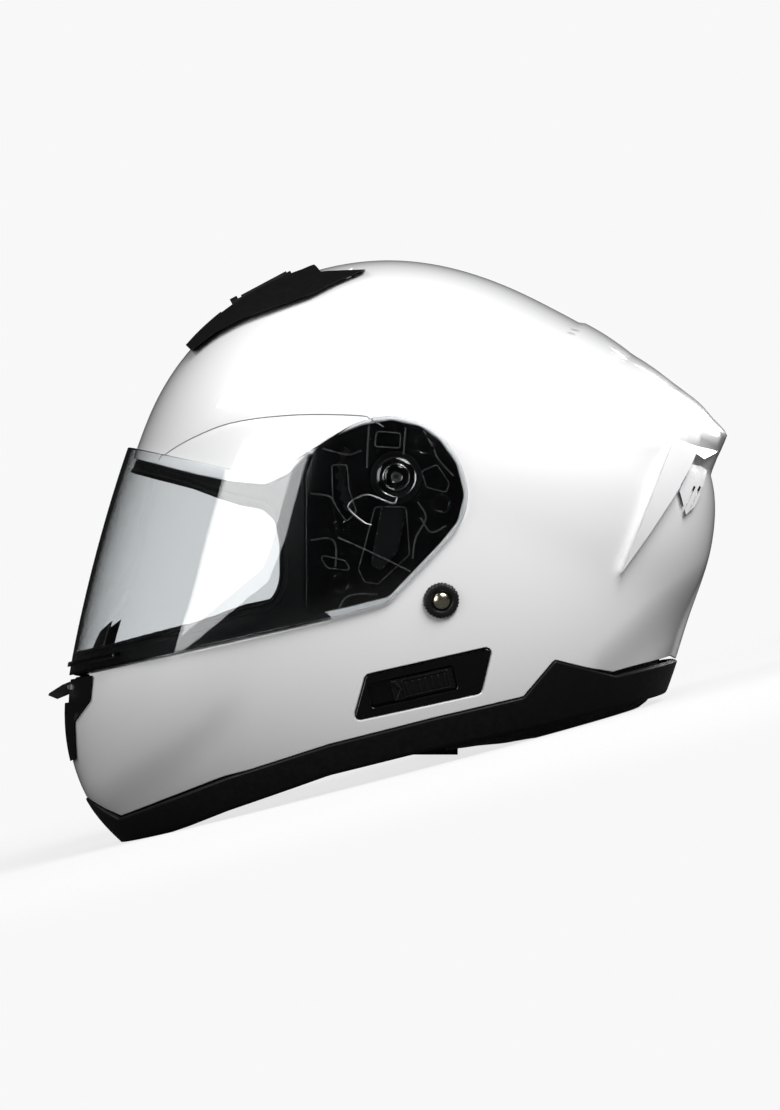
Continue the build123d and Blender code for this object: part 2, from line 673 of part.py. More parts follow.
def strap_sleeve():
    """Padded sleeve round the right strap."""
    tube = ribbon([(54, STRAP_LEVEL), (14, STRAP_LEVEL)], 4.8, -1, 27)
    return tube - ribbon([(60, STRAP_LEVEL), (10, STRAP_LEVEL)], 3.2, -1, 23)


# ---- placing and writing ----
LIFT = 142.6
SHIFT = 14.53


def standing(shape):
    """From the wearing frame to the helmet standing on z = 0, centred on its own length."""
    return Pos(0, SHIFT, LIFT) * (Rot(-STANDING_TILT, 0, 0) * shape)


def pieces():
    made = {
        "outer_shell": outer_shell(),
        "base_trim": base_trim(),
        "eyeport_gasket": eyeport_gasket(),
        "side_panel": side_panel(),
        "sun_slider": sun_slider(),
        "top_vent_base": top_vent_base(),
        "top_vent_slider": top_vent_slider(),
        "brow_inlet": brow_inlet(),
        "chin_vent_body": chin_vent(),
        "chin_vent_flap": chin_vent_flap(),
        "flap_pins": flap_pins(),
        "rear_fin": rear_fin(),
        "visor": visor(),
        "visor_lift_tab": lift_tab(),
        "sun_visor": sun_visor(),
        "eps_liner": eps_liner(),
        "eps_chin_block": eps_chin_block(),
        "crown_pad": crown_pad(),
        "neck_roll": neck_roll(),
        "chin_curtain": chin_curtain(),
        "breath_guard": breath_guard(),
        "buckle_frame": buckle_frame(),
        "buckle_lever": buckle_lever(),
        "buckle_pin": buckle_pin(),
        "ratchet_tongue": ratchet_tongue(),
        "strap_sleeve": strap_sleeve(),
    }
    for name, side in (("left", 1), ("right", -1)):
        made["visor_base_" + name] = mechanism_base(side)
        made["visor_hub_" + name] = visor_hub(side)
        made["hub_screw_" + name] = hub_screw(side)
        made["base_screws_" + name] = mechanism_screws(side)
        made["detent_quadrant_" + name] = detent_quadrant(side)
        made["release_lever_" + name] = release_lever(side)
        made["exhaust_grille_" + name] = exhaust_grille(side)
        made["sun_visor_pin_" + name] = sun_visor_pin(side)
        made["cheek_pad_" + name] = cheek_pad(side)
        made["strap_" + name] = strap(side)
        made["strap_anchor_" + name] = strap_anchor(side)
        made["strap_rivet_" + name] = rivet(side)
        made["rivet_washer_" + name] = rivet_washer(side)
    return made


os.makedirs("parts", exist_ok=True)
for name, shape in pieces().items():
    export_step(standing(shape), "parts/" + name + ".step")
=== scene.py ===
import json
import math
import bpy
import bmesh
import numpy as np
from mathutils import Matrix, Vector, geometry


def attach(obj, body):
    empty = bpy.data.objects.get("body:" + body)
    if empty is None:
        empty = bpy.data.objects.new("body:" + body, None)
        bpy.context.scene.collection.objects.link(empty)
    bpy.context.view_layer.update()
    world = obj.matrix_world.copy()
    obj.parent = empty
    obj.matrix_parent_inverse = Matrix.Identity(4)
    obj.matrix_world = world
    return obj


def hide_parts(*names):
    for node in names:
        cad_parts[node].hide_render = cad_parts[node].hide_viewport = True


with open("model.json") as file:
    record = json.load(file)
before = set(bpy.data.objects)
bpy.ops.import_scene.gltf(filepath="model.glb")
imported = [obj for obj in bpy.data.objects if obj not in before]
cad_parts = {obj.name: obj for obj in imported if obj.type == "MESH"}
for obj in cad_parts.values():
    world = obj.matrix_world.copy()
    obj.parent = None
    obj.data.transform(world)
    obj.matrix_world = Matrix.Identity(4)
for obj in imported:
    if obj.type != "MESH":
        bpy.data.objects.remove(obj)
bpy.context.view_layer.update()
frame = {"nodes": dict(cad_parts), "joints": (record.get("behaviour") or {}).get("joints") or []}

nodes = frame["nodes"]
pivot = [j for j in frame["joints"] if j["name"] == "visor_hinge"][0]["pos_m"]
tilt = math.radians(14.7)   # from the wearing attitude to standing on the rim
hands = ((1, "left"), (-1, "right"))   # side of x, name
print("frame loaded:", len(nodes), "nodes")

# frames and curves
# Shapes are drawn in the wearing frame: millimetres, origin on the visor axis, x to the wearer's left,
# y to the back of the head, z up. A place in the side view is a (y, z) pair.


def turned(v):
    # a direction turned by the standing tilt about x
    c, s = math.cos(tilt), math.sin(tilt)
    return np.stack([v[..., 0], v[..., 1] * c + v[..., 2] * s, v[..., 2] * c - v[..., 1] * s], -1)


def standing(points):
    # wearing frame to the standing frame: turned by the tilt, in metres, carried to the visor axis
    return turned(np.asarray(points, float)) / 1000 + np.array(pivot)


def periodicSpline(knots, values, at):
    # cubic through values at knots (radians) that closes after one full turn
    knots, values = np.asarray(knots, float), np.asarray(values, float)
    n = len(knots)
    step = np.diff(np.append(knots, knots[0] + 2 * np.pi))
    matrix = np.zeros((n, n))
    i = np.arange(n)
    matrix[i, i - 1] += np.roll(step, 1)
    matrix[i, i] += 2 * (np.roll(step, 1) + step)
    matrix[i, (i + 1) % n] += step
    rise = (np.roll(values, -1) - values) / step
    bend = np.linalg.solve(matrix, 6 * (rise - np.roll(rise, 1)))
    at = (np.asarray(at, float) - knots[0]) % (2 * np.pi) + knots[0]
    k = np.clip(np.searchsorted(knots, at, side="right") - 1, 0, n - 1)
    after = (k + 1) % n
    b = (at - knots[k]) / step[k]
    a = 1 - b
    return a * values[k] + b * values[after] + ((a**3 - a) * bend[k] + (b**3 - b)
                                                * bend[after]) * step[k]**2 / 6


def smooth(low, high, value):
    # 0 below low, 1 above high, an S curve between
    t = np.clip((value - low) / (high - low), 0, 1)
    return t * t * (3 - 2 * t)


def resampled(line, step):
    # points at an even spacing along a broken line
    line = np.asarray(line, float)
    run = np.append(0, np.cumsum(np.linalg.norm(np.diff(line, axis=0), axis=1)))
    s = np.linspace(0, run[-1], max(2, int(round(run[-1] / step)) + 1))
    return np.stack([np.interp(s, run, line[:, k]) for k in range(line.shape[1])], -1)


def rounded(corners, radii=0.0, step=0.4):
    # closed outline whose corners are arcs, sampled closely; radii is one number or one per corner
    corners = np.asarray(corners, float)
    radii = np.broadcast_to(radii, len(corners))
    line = []
    for k, corner in enumerate(corners):
        back = corners[k - 1] - corner
        ahead = corners[(k + 1) % len(corners)] - corner
        lb, la = np.linalg.norm(back), np.linalg.norm(ahead)
        back, ahead = back / lb, ahead / la
        half = math.acos(float(np.clip(back @ ahead, -1, 1))) / 2
        reach = min(radii[k] / math.tan(half), 0.48 * lb, 0.48 * la) if radii[k] > 0 else 0
        if reach <= 0:
            line.append(corner[None])
            continue
        r = reach * math.tan(half)
        centre = corner + (back + ahead) / np.linalg.norm(back + ahead) * r / math.sin(half)
        a0, a1 = (math.atan2(*(corner + d * reach - centre)[::-1]) for d in (back, ahead))
        a1 = a0 + (a1 - a0 + math.pi) % (2 * math.pi) - math.pi
        a = np.linspace(a0, a1, max(3, int(abs(a1 - a0) * r / step) + 2))
        line.append(centre + r * np.stack([np.cos(a), np.sin(a)], -1))
    line = np.concatenate(line)
    return resampled(np.vstack([line, line[:1]]), step)[:-1] if radii.max() > 0 else line


def openSpline(points, step=0.8):
    # smooth open curve through points: Catmull-Rom, ends carried on straight
    p = np.asarray(points, float)
    p = np.vstack([2 * p[0] - p[1], p, 2 * p[-1] - p[-2]])
    t = np.linspace(0, 1, 24, endpoint=False)[:, None]
    parts = [0.5 * (2 * b + (c - a) * t + (2 * a - 5 * b + 4 * c - d) * t**2 + (3 * b - a - 3 * c + d) * t**3)
             for a, b, c, d in zip(p, p[1:], p[2:], p[3:])]
    return resampled(np.vstack(parts + [p[-2][None]]), step)


def grown(line, amount):
    # closed side-view outline moved outwards by an amount along its own normals
    line = np.asarray(line, float)
    ahead, behind = np.roll(line, -1, 0) - line, line - np.roll(line, 1, 0)
    ahead /= np.linalg.norm(ahead, axis=1, keepdims=True)
    behind /= np.linalg.norm(behind, axis=1, keepdims=True)
    n1 = np.stack([ahead[:, 1], -ahead[:, 0]], -1)
    n2 = np.stack([behind[:, 1], -behind[:, 0]], -1)
    area = np.sum(line[:, 0] * np.roll(line[:, 1], -1) - np.roll(line[:, 0], -1) * line[:, 1])
    miter = (n1 + n2) / np.maximum(1 + np.sum(n1 * n2, 1, keepdims=True), 0.4)
    return line + miter * amount * np.sign(area)


def grownOpen(line, amount):
    # open side-view line moved sideways
    d = np.gradient(np.asarray(line, float), axis=0)
    d /= np.linalg.norm(d, axis=1, keepdims=True)
    return line + amount * np.stack([d[:, 1], -d[:, 0]], -1)


def within(y, z, line):
    # true where a side-view place lies in a closed outline, by counting crossings
    line = np.asarray(line, float)
    y, z = np.asarray(y, float), np.asarray(z, float)
    found = np.zeros(y.shape, bool)
    for (y0, z0), (y1, z1) in zip(line, np.roll(line, -1, 0)):
        crosses = (z0 > z) != (z1 > z)
        if z1 != z0:
            found ^= crosses & (y < (y1 - y0) * (z - z0) / (z1 - z0) + y0)
    return found


# meshes
def placed(name, data):
    # an object for a mesh, lamp or camera, linked to the scene
    made = bpy.data.objects.new(name, data)
    bpy.context.scene.collection.objects.link(made)
    return made


def unit(v):
    # vectors scaled to length one
    return v / np.maximum(np.linalg.norm(v, axis=-1, keepdims=True), 1e-12)


def gridFaces(rows, ring, closed=False):
    # two triangles for each cell of a grid whose rows are closed rings
    i, j = np.meshgrid(np.arange(rows if closed else rows - 1), np.arange(ring), indexing="ij")
    i2, j2 = (i + 1) % rows, (j + 1) % ring
    a, b, c, d = i * ring + j, i * ring + j2, i2 * ring + j2, i2 * ring + j
    return np.vstack([np.stack([a, b, c], -1).reshape(-1, 3), np.stack([a, c, d], -1).reshape(-1, 3)])


def facing(points, faces):
    # direction that each triangle faces, its length twice the triangle's area
    a, b, c = (points[faces[:, k]] for k in range(3))
    return np.cross(b - a, c - a)


def outward(points, normals, faces):
    # triangles turned so that they face the way their normals do
    agree = np.sum(facing(points, faces) * normals[faces[:, 0]], 1).mean() > 0
    return faces if agree else faces[:, ::-1]


def meshPiece(name, points, normals, triangles, mirror=False):
    # one object from arrays in the wearing frame, with its own smooth normals
    points, normals = np.array(points, float), np.array(normals, float)
    triangles = np.asarray(triangles, np.int64)
    if mirror:
        points[:, 0] *= -1
        normals[:, 0] *= -1
        triangles = triangles[:, ::-1]
    mesh = bpy.data.meshes.new(name)
    mesh.vertices.add(len(points))
    mesh.vertices.foreach_set("co", standing(points).astype(np.float32).ravel())
    mesh.loops.add(triangles.size)
    mesh.loops.foreach_set("vertex_index", triangles.astype(np.int32).ravel())
    mesh.polygons.add(len(triangles))
    mesh.polygons.foreach_set("loop_start", np.arange(0, triangles.size, 3, dtype=np.int32))
    mesh.update(calc_edges=True)
    mesh.validate()
    mesh.polygons.foreach_set("use_smooth", np.ones(len(mesh.polygons), bool))
    if len(mesh.vertices) == len(points):
        mesh.normals_split_custom_set_from_vertices(turned(normals).astype(np.float32).tolist())
    return placed(name, mesh)


def flow(surface, u, v, eps=1e-3):
    # points and outward unit normals of a two-parameter surface, by central differences
    across = surface(u, v + eps) - surface(u, v - eps)
    along = surface(u + eps, v) - surface(u - eps, v)
    return surface(u, v), unit(np.cross(across, along))


def fill(loops, spacing, kept):
    # triangles over a flat region: its outlines, a staggered lattice inside them, and kept() deciding
    lines = [np.asarray(l, float) for l, closed in loops]
    edges, count = [], 0
    for line, (l, closed) in zip(lines, loops):
        k = np.arange(len(line)) + count
        pairs = np.stack([k, np.roll(k, -1)], -1)
        edges.append(pairs if closed else pairs[:-1])
        count += len(line)
    border = np.concatenate(lines)
    low, high = border.min(0), border.max(0)
    rows = np.arange(low[1], high[1], spacing * 0.87)
    x, y = np.meshgrid(np.arange(low[0], high[0], spacing), rows)
    x = x + (np.arange(len(rows)) % 2)[:, None] * spacing / 2
    lattice = np.stack([x.ravel(), y.ravel()], -1)
    lattice = lattice[kept(lattice)]
    cell = spacing * 0.62
    free = np.ones(len(lattice), bool)
    for start in range(0, len(lattice), 1500):
        part = lattice[start:start + 1500]
        near = np.min(np.sum((part[:, None] - border[None]) ** 2, -1), 1)
        free[start:start + 1500] = near > cell * cell
    cloud = np.vstack([border, lattice[free]])
    made = geometry.delaunay_2d_cdt([Vector(p) for p in cloud.tolist()],
                                    [tuple(e) for e in np.concatenate(edges).tolist()], [], 0, 1e-5)
    points = np.array([tuple(p) for p in made[0]], float)
    triangles = np.array([f for f in made[2] if len(f) == 3], np.int64)
    triangles = triangles[kept(points[triangles].mean(1))]
    used, triangles = np.unique(triangles, return_inverse=True)
    return points[used], triangles.reshape(-1, 3)


def walled(points, normals, triangles, depth, rim, under=None, steps=3):
    # closed wall from a trimmed face: rounded edge of radius rim, side, and the same face at a depth
    edges = np.concatenate([triangles[:, [0, 1]], triangles[:, [1, 2]], triangles[:, [2, 0]]])
    n = len(points)
    key = np.minimum(edges[:, 0], edges[:, 1]) * n + np.maximum(edges[:, 0], edges[:, 1])
    first, times = np.unique(key, return_index=True, return_counts=True)[1:]
    start, end = edges[first[times == 1]].T
    after, before = np.arange(n), np.arange(n)
    after[start], before[end] = end, start
    rimIds = np.unique(start)
    tangent = unit(points[after[rimIds]] - points[before[rimIds]])
    out = unit(np.cross(tangent, normals[rimIds]))
    bottom = points - depth * normals if under is None else under
    down = bottom[rimIds] - points[rimIds]
    deep = np.linalg.norm(down, axis=1, keepdims=True)
    down = unit(down)
    edge = np.minimum(rim, 0.45 * deep)
    allPoints, allNormals = [points.copy()], [normals]
    allPoints[0][rimIds] = points[rimIds] - edge * out
    for turn in np.linspace(0, math.pi / 2, steps + 1)[1:]:
        allPoints.append(points[rimIds] + edge * ((math.sin(turn) - 1) * out + (1 - math.cos(turn)) * down))
        allNormals.append(math.sin(turn) * out - math.cos(turn) * down)
    for turn in np.linspace(0, math.pi / 2, steps + 1)[:-1]:
        allPoints.append(bottom[rimIds] + edge * ((math.cos(turn) - 1) * out - (1 - math.sin(turn)) * down))
        allNormals.append(math.cos(turn) * out + math.sin(turn) * down)
    bottomPoints = bottom.copy()
    bottomPoints[rimIds] = bottom[rimIds] - edge * out
    place = np.full(n, -1)
    place[rimIds] = np.arange(len(rimIds))
    faces = [triangles]
    rings = [rimIds] + [n + k * len(rimIds) + np.arange(len(rimIds)) for k in range(2 * steps)]
    base = n + 2 * steps * len(rimIds)
    rings.append(base + rimIds)
    for upper, lower in zip(rings, rings[1:]):
        i, j = place[start], place[end]
        faces += [np.stack([upper[j], upper[i], lower[i]], -1), np.stack([upper[j], lower[i], lower[j]], -1)]
    faces.append(base + triangles[:, ::-1])
    return (np.vstack(allPoints + [bottomPoints]), np.vstack(allNormals + [-normals]), np.vstack(faces))


def plate(name, outline, low, high, rim=0.4, holes=(), side=1, spacing=6.0, top=None):
    # flat or crowned plate over a side-view outline, from |x| = low to high, walls rounded at the edge
    loops = [(outline, True)] + [(h, True) for h in holes]

    def kept(p):
        found = within(p[:, 0], p[:, 1], outline)
        for hole in holes:
            found &= ~within(p[:, 0], p[:, 1], hole)
        return found

    flat, triangles = fill(loops, spacing, kept)
    height = (lambda y, z: np.full(np.shape(y), float(high))) if top is None else top

    def surface(y, z):
        return np.stack([height(y, z), y, z], -1)

    points, normals = flow(surface, flat[:, 0], flat[:, 1], 0.05)
    normals = -normals
    floor = points.copy()
    floor[:, 0] = low if top is None else points[:, 0] - (high - low)
    points, normals, faces = walled(points, normals, triangles, high - low, rim, under=floor)
    return meshPiece(name, points, normals, faces, mirror=side < 0)


def swept(name, path, across, up, profile, closed=False, mirror=False):
    # closed profile carried along a path: place = path + p0 across + p1 up, ends closed by fans
    path, across, up, profile = (np.asarray(a, float) for a in (path, across, up, profile))
    n, m = len(path), len(profile)
    points = path[:, None] + profile[None, :, :1] * across[:, None] + profile[None, :, 1:] * up[:, None]
    edge = np.roll(profile, -1, 0) - np.roll(profile, 1, 0)
    out = unit(np.stack([edge[:, 1], -edge[:, 0]], -1))
    normals = out[None, :, :1] * across[:, None] + out[None, :, 1:] * up[:, None]
    faces = [gridFaces(n, m, closed)]
    points, normals = points.reshape(-1, 3), normals.reshape(-1, 3)
    if not closed:
        for ring, inward in ((np.arange(m), True), (np.arange(m) + (n - 1) * m, False)):
            hub = len(points)
            direction = unit(path[0] - path[1] if inward else path[-1] - path[-2])
            copy = points[ring]
            points = np.vstack([points, copy, copy.mean(0)[None]])
            normals = np.vstack([normals, np.repeat(direction[None], m + 1, 0)])
            k = np.arange(m) + hub
            k2 = np.roll(k, -1)
            fan = np.stack([k, k2, np.full(m, hub + m)], -1)
            faces.append(fan[:, ::-1] if inward else fan)
    faces = np.vstack(faces)
    return meshPiece(name, points, normals, outward(points, normals, faces), mirror)


# the ovoid that every layer is nested in
shell = {
    "halfWidth": 127.0,
    "roundness": 2.4,
    "thickness": 4.5,
    "spacing": 3.6,          # of the mesh, mm
    "rim": 0.7,              # rounding of cut edges
    # side view of the bare shell at mid-width, clockwise from the back of the visor axis
    "outline": [(161, 0), (162.3, -22), (158, -45), (150, -68), (143, -90), (128, -128), (96, -172),
                (45, -206),
                (-15, -222), (-72, -218), (-114, -203), (-139, -184), (-155, -166), (-164.5, -144),
                (-168, -122),
                (-165.5, -97), (-156, -60), (-144, -20), (-132, 16), (-123.5, 37.5), (-110, 60), (-88, 82.5),
                (-60, 99.5), (-30, 109.2), (0, 111.8), (30, 107.5), (60, 97), (90, 81.5), (118, 62),
                (142, 35)],
    # ridge line of the tail, down to its tip, and its hollow underside
    "tail": [(96, 79.7), (119.3, 62.9), (139.7, 47.8), (160, 31.2), (167, 25.6), (168.8, 22.6), (163.4, 10.5),
             (160.4, 3.0)],
    "tailSpread": 46.0,      # degrees round the back in which the tail fades out
    "tailPower": 0.8,
}
outlinePoints = np.array(shell["outline"], float)
outlineTurns = -np.unwrap(np.arctan2(outlinePoints[:, 1], outlinePoints[:, 0]))
tableTurns = np.radians(np.arange(0, 360.01, 0.25))
tableReach = periodicSpline(outlineTurns, np.hypot(outlinePoints[:, 0], outlinePoints[:, 1]), tableTurns)
tailPoints = np.array(shell["tail"], float)
tailTurns = -np.arctan2(tailPoints[:, 1], tailPoints[:, 0])
tailReach = np.hypot(tailPoints[:, 0], tailPoints[:, 1])


def bareReach(turn):
    # distance of the mid-width outline from the axis, by clockwise turn from the back
    return np.interp(np.mod(turn, 2 * np.pi), tableTurns, tableReach)


def shellReach(turn, swing):
    # the bare outline plus the tail ridge, which fades out as the swing grows
    back = (np.asarray(turn) + np.pi) % (2 * np.pi) - np.pi
    rise = np.interp(back, tailTurns, tailReach, left=0, right=0) - bareReach(turn)
    limit = math.radians(shell["tailSpread"])
    fade = np.cos(np.clip(np.abs(swing) / limit, 0, 1) * np.pi / 2) ** shell["tailPower"]
    return bareReach(turn) + np.maximum(rise, 0) * fade


def ovoid(turn, swing, reach, halfWidth):
    # x = W sin(swing); the side view shrinks by cos(swing)^(2/roundness) on its own outline
    r = np.cos(swing) ** (2 / shell["roundness"]) * reach
    return np.stack([halfWidth * np.sin(swing), r * np.cos(turn), -r * np.sin(turn)], -1)


def layer(inset):
    # the bare ovoid drawn in, or out for a negative inset, as a surface of turn and swing
    return lambda turn, swing: ovoid(turn, swing, bareReach(turn) - inset, shell["halfWidth"] - inset)


def sideWidth(y, z, inset=0.0):
    # half width of the ovoid over a side-view place
    share = np.hypot(y, z) / (bareReach(np.arctan2(-z, y)) - inset)
    return (shell["halfWidth"] - inset) * np.sqrt(np.maximum(0.0, 1 - share ** shell["roundness"]))


disc = 120.0   # scale of the flat map of one half: distance from the pole in radians times this


def toDisc(line, reach=bareReach):
    # side-view places to the flat map: q = arcsin(share^(roundness/2)) along the same direction
    line = np.asarray(line, float)
    share = np.hypot(line[:, 0], line[:, 1]) / reach(np.arctan2(-line[:, 1], line[:, 0]))
    q = np.arcsin(np.clip(share, 0, 1) ** (shell["roundness"] / 2)) * disc
    return line / np.hypot(line[:, 0], line[:, 1])[:, None] * q[:, None], share


def fromDisc(p):
    # the flat map back to turn and swing
    q = np.hypot(p[:, 0], p[:, 1]) / disc
    return np.arctan2(-p[:, 1], p[:, 0]), np.pi / 2 - q


def discLines(outline, reach=bareReach, closed=True, step=1.1):
    # the parts of a side-view outline that lie on the ovoid, ending exactly on its mid-width line
    line = np.vstack([outline, outline[:1]]) if closed else np.asarray(outline, float)
    dense = resampled(line, 0.25)
    mapped, share = toDisc(dense, reach)
    inside = share < 1
    if inside.all():
        path = resampled(mapped, step)
        return [(path[:-1] if closed else path, closed)]
    runs, current = [], []
    first = int(np.argmin(inside)) if closed else 0
    order = np.roll(np.arange(len(dense) - (1 if closed else 0)), -first) if closed else np.arange(len(dense))
    for a, b in zip(order, np.append(order[1:], order[0] if closed else order[-1])):
        if inside[a]:
            current.append(mapped[a])
        if inside[a] != inside[b]:
            t = (1 - share[a]) / (share[b] - share[a])
            cut = dense[a] + t * (dense[b] - dense[a])
            current.append(cut / np.linalg.norm(cut) * disc * np.pi / 2)
            if inside[a]:
                runs.append(np.array(current))
                current = []
    if len(current) > 1:
        runs.append(np.array(current))
    return [(resampled(run, step), False) for run in runs if len(run) > 1]


def ovoidPiece(name, surface, outlines, kept, depth, rim, spacing, reach=bareReach, under=None, creases=(),
               onlyLeft=(), keptLeft=None):
    # trimmed piece of an ovoid: each half is filled on its flat map, the halves meet at mid-width
    ring = np.radians(np.arange(0, 360, 0.75))
    allTurns, allSwings, allFaces, count = [], [], [], 0
    for side in (1, -1):
        loops = []
        for outline in list(outlines) + (list(onlyLeft) if side > 0 else []):
            loops += discLines(outline, reach)
        ends = [l[k] for l, closed in loops if not closed for k in (0, -1)]
        loops += [piece for crease in creases for piece in discLines(crease, reach, closed=False)]
        ends = [e for e in ends if abs(np.hypot(*e) - disc * np.pi / 2) < 1e-6]
        angles = np.concatenate([ring] + [[math.atan2(e[1], e[0]) % (2 * np.pi)] for e in ends])
        endAngles = angles[len(ring):]
        near = np.array([len(endAngles) and np.min(np.abs(endAngles - a)) < 0.006 for a in ring], bool)
        angles = np.unique(np.concatenate([ring[~near] if len(endAngles) else ring, endAngles]))
        circle = np.stack([np.cos(angles), np.sin(angles)], -1) * disc * np.pi / 2
        loops.append((circle, True))

        def keptHere(p):
            turn, swing = fromDisc(p)
            shrink = np.cos(np.maximum(swing, 0)) ** (2 / shell["roundness"])
            y, z = shrink * reach(turn) * np.cos(turn), -shrink * reach(turn) * np.sin(turn)
            found = (swing > 0) & kept(y, z)
            return found & keptLeft(y, z) if keptLeft and side > 0 else found

        flat, triangles = fill(loops, spacing, keptHere)
        turn, swing = fromDisc(flat)
        swing = np.where(swing < 1e-5, 0.0, swing)
        allTurns.append(turn)
        allSwings.append(side * swing)
        allFaces.append((triangles[:, ::-1] if side > 0 else triangles) + count)
        count += len(flat)
    turn, swing, faces = np.concatenate(allTurns), np.concatenate(allSwings), np.vstack(allFaces)
    key = np.round(np.stack([np.cos(turn), np.sin(turn), swing], -1), 5)
    key, index, inverse = np.unique(key, axis=0, return_index=True, return_inverse=True)
    turn, swing, faces = turn[index], swing[index], inverse.reshape(-1)[faces]
    points, normals = flow(surface, turn, swing)
    faces = outward(points, normals, faces)
    floor = None if under is None else under(turn, swing)
    return meshPiece(name, *walled(points, normals, faces, depth, rim, under=floor))


def fitted(piece, material, body, slotName, *cadNodes):
    # material, body and the CAD nodes that the piece stands for; slotName is not used
    piece.data.materials.clear()
    piece.data.materials.append(material)
    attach(piece, body)
    if cadNodes:
        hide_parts(*cadNodes)
    return piece


# materials
def group(name, inputs, outputs, build):
    # shader node group with named sockets, built once and placed in each material with its own values
    tree = bpy.data.node_groups.new(name, "ShaderNodeTree")
    for label, kind, value in inputs:
        socket = tree.interface.new_socket(label, in_out="INPUT", socket_type=kind)
        socket.default_value = value
    for label, kind in outputs:
        tree.interface.new_socket(label, in_out="OUTPUT", socket_type=kind)
    build(tree, tree.nodes.new("NodeGroupInput"), tree.nodes.new("NodeGroupOutput"))
    return tree


def node(tree, kind, values=None, **settings):
    made = tree.nodes.new(kind)
    for key, value in settings.items():
        setattr(made, key, value)
    for key, value in (values or {}).items():
        made.inputs[key].default_value = value
    return made


def wire(tree, *links):
    # links given as node, output, node, input
    for source, out, target, into in links:
        start, end = source.outputs[out], target.inputs[into]
        tree.links.new(start, end)


def buildGrain(tree, entry, exit):
    # moulded grain: fine cells over a broad noise, as height and as a change of roughness
    place = node(tree, "ShaderNodeTexCoord")
    cells = node(tree, "ShaderNodeTexVoronoi", feature="SMOOTH_F1")
    broad = node(tree, "ShaderNodeTexNoise", {"Detail": 4.0})
    half = node(tree, "ShaderNodeMath", {1: 0.13}, operation="MULTIPLY")
    mix = node(tree, "ShaderNodeMath", {2: 0.5}, operation="MULTIPLY_ADD")
    rough = node(tree, "ShaderNodeMapRange", {"From Min": 0.35, "From Max": 0.65})
    wire(tree, (place, "Object", cells, "Vector"), (place, "Object", broad, "Vector"),
               (entry, "Scale", cells, "Scale"), (entry, "Scale", half, 0), (half, 0, broad, "Scale"),
               (broad, "Fac", mix, 0), (cells, "Distance", mix, 1), (mix, 0, exit, "Height"),
               (broad, "Fac", rough, "Value"), (entry, "Smooth", rough, "To Min"),
               (entry, "Rough", rough, "To Max"), (rough, "Result", exit, "Roughness"))


grain = group("mouldedGrain", [("Scale", "NodeSocketFloat", 1500.0), ("Smooth", "NodeSocketFloat", 0.4),
                               ("Rough", "NodeSocketFloat", 0.55)],
              [("Height", "NodeSocketFloat"), ("Roughness", "NodeSocketFloat")], buildGrain)


def buildWearAndSheen(tree, entry, exit):
    # edges made lighter, partly as rubbed wear and partly as painted sheen: the pointiness of the surface,
    # broken up by noise
    bend = node(tree, "ShaderNodeNewGeometry")
    place = node(tree, "ShaderNodeTexCoord")
    noise = node(tree, "ShaderNodeTexNoise", {"Scale": 90.0, "Detail": 5.0})
    ramp = node(tree, "ShaderNodeMapRange", {"From Min": 0.53, "From Max": 0.62})
    part = node(tree, "ShaderNodeMath", operation="MULTIPLY")
    amount = node(tree, "ShaderNodeMath", operation="MULTIPLY", use_clamp=True)
    mix = node(tree, "ShaderNodeMix", data_type="RGBA")
    wire(tree, (place, "Object", noise, "Vector"), (bend, "Pointiness", ramp, "Value"),
               (ramp, "Result", part, 0), (noise, "Fac", part, 1), (part, 0, amount, 0),
               (entry, "Amount", amount, 1), (amount, 0, mix, "Factor"), (entry, "Color", mix, "A"),
               (entry, "WornAndSheen", mix, "B"), (mix, "Result", exit, "Color"))


wearAndSheen = group("rubbedEdgesAndSheen", [("Color", "NodeSocketColor", (0.02, 0.02, 0.02, 1)),
                             ("WornAndSheen", "NodeSocketColor", (0.1, 0.1, 0.1, 1)),
                             ("Amount", "NodeSocketFloat", 0.5)],
             [("Color", "NodeSocketColor")], buildWearAndSheen)


def buildWeave(tree, entry, exit):
    # two crossing sets of threads as sines of the two directions of the map
    across = node(tree, "ShaderNodeSeparateXYZ")
    wire(tree, (entry, "Vector", across, 0))
    heights = []
    for axis, other in (("X", "Y"), ("Y", "X")):
        scale = node(tree, "ShaderNodeMath", operation="MULTIPLY")
        wave = node(tree, "ShaderNodeMath", operation="SINE")
        square = node(tree, "ShaderNodeMath", operation="ABSOLUTE")
        wire(tree, (across, axis, scale, 0), (entry, "Threads", scale, 1), (scale, 0, wave, 0),
                   (wave, 0, square, 0))
        heights.append(square)
    top = node(tree, "ShaderNodeMath", operation="MULTIPLY")
    shade = node(tree, "ShaderNodeMix", data_type="RGBA")
    wire(tree, (heights[0], 0, top, 0), (heights[1], 0, top, 1), (top, 0, exit, "Height"),
               (top, 0, shade, "Factor"), (entry, "Dark", shade, "A"), (entry, "Light", shade, "B"),
               (shade, "Result", exit, "Color"))


weave = group("weave", [("Vector", "NodeSocketVector", (0, 0, 0)), ("Threads", "NodeSocketFloat", 3000.0),
                        ("Dark", "NodeSocketColor", (0.01, 0.01, 0.01, 1)),
                        ("Light", "NodeSocketColor", (0.05, 0.05, 0.05, 1))],
              [("Height", "NodeSocketFloat"), ("Color", "NodeSocketColor")], buildWeave)


def finish(name, color, roughness=0.5, **sockets):
    # a Principled material with constants on the shader's own sockets
    material = bpy.data.materials.new(name)
    material.use_nodes = True
    tree = material.node_tree
    shader = tree.nodes["Principled BSDF"]
    shader.inputs["Base Color"].default_value = (*color, 1)
    shader.inputs["Roughness"].default_value = roughness
    for label, value in sockets.items():
        shader.inputs[label.replace("_", " ")].default_value = value
    return material, tree, shader


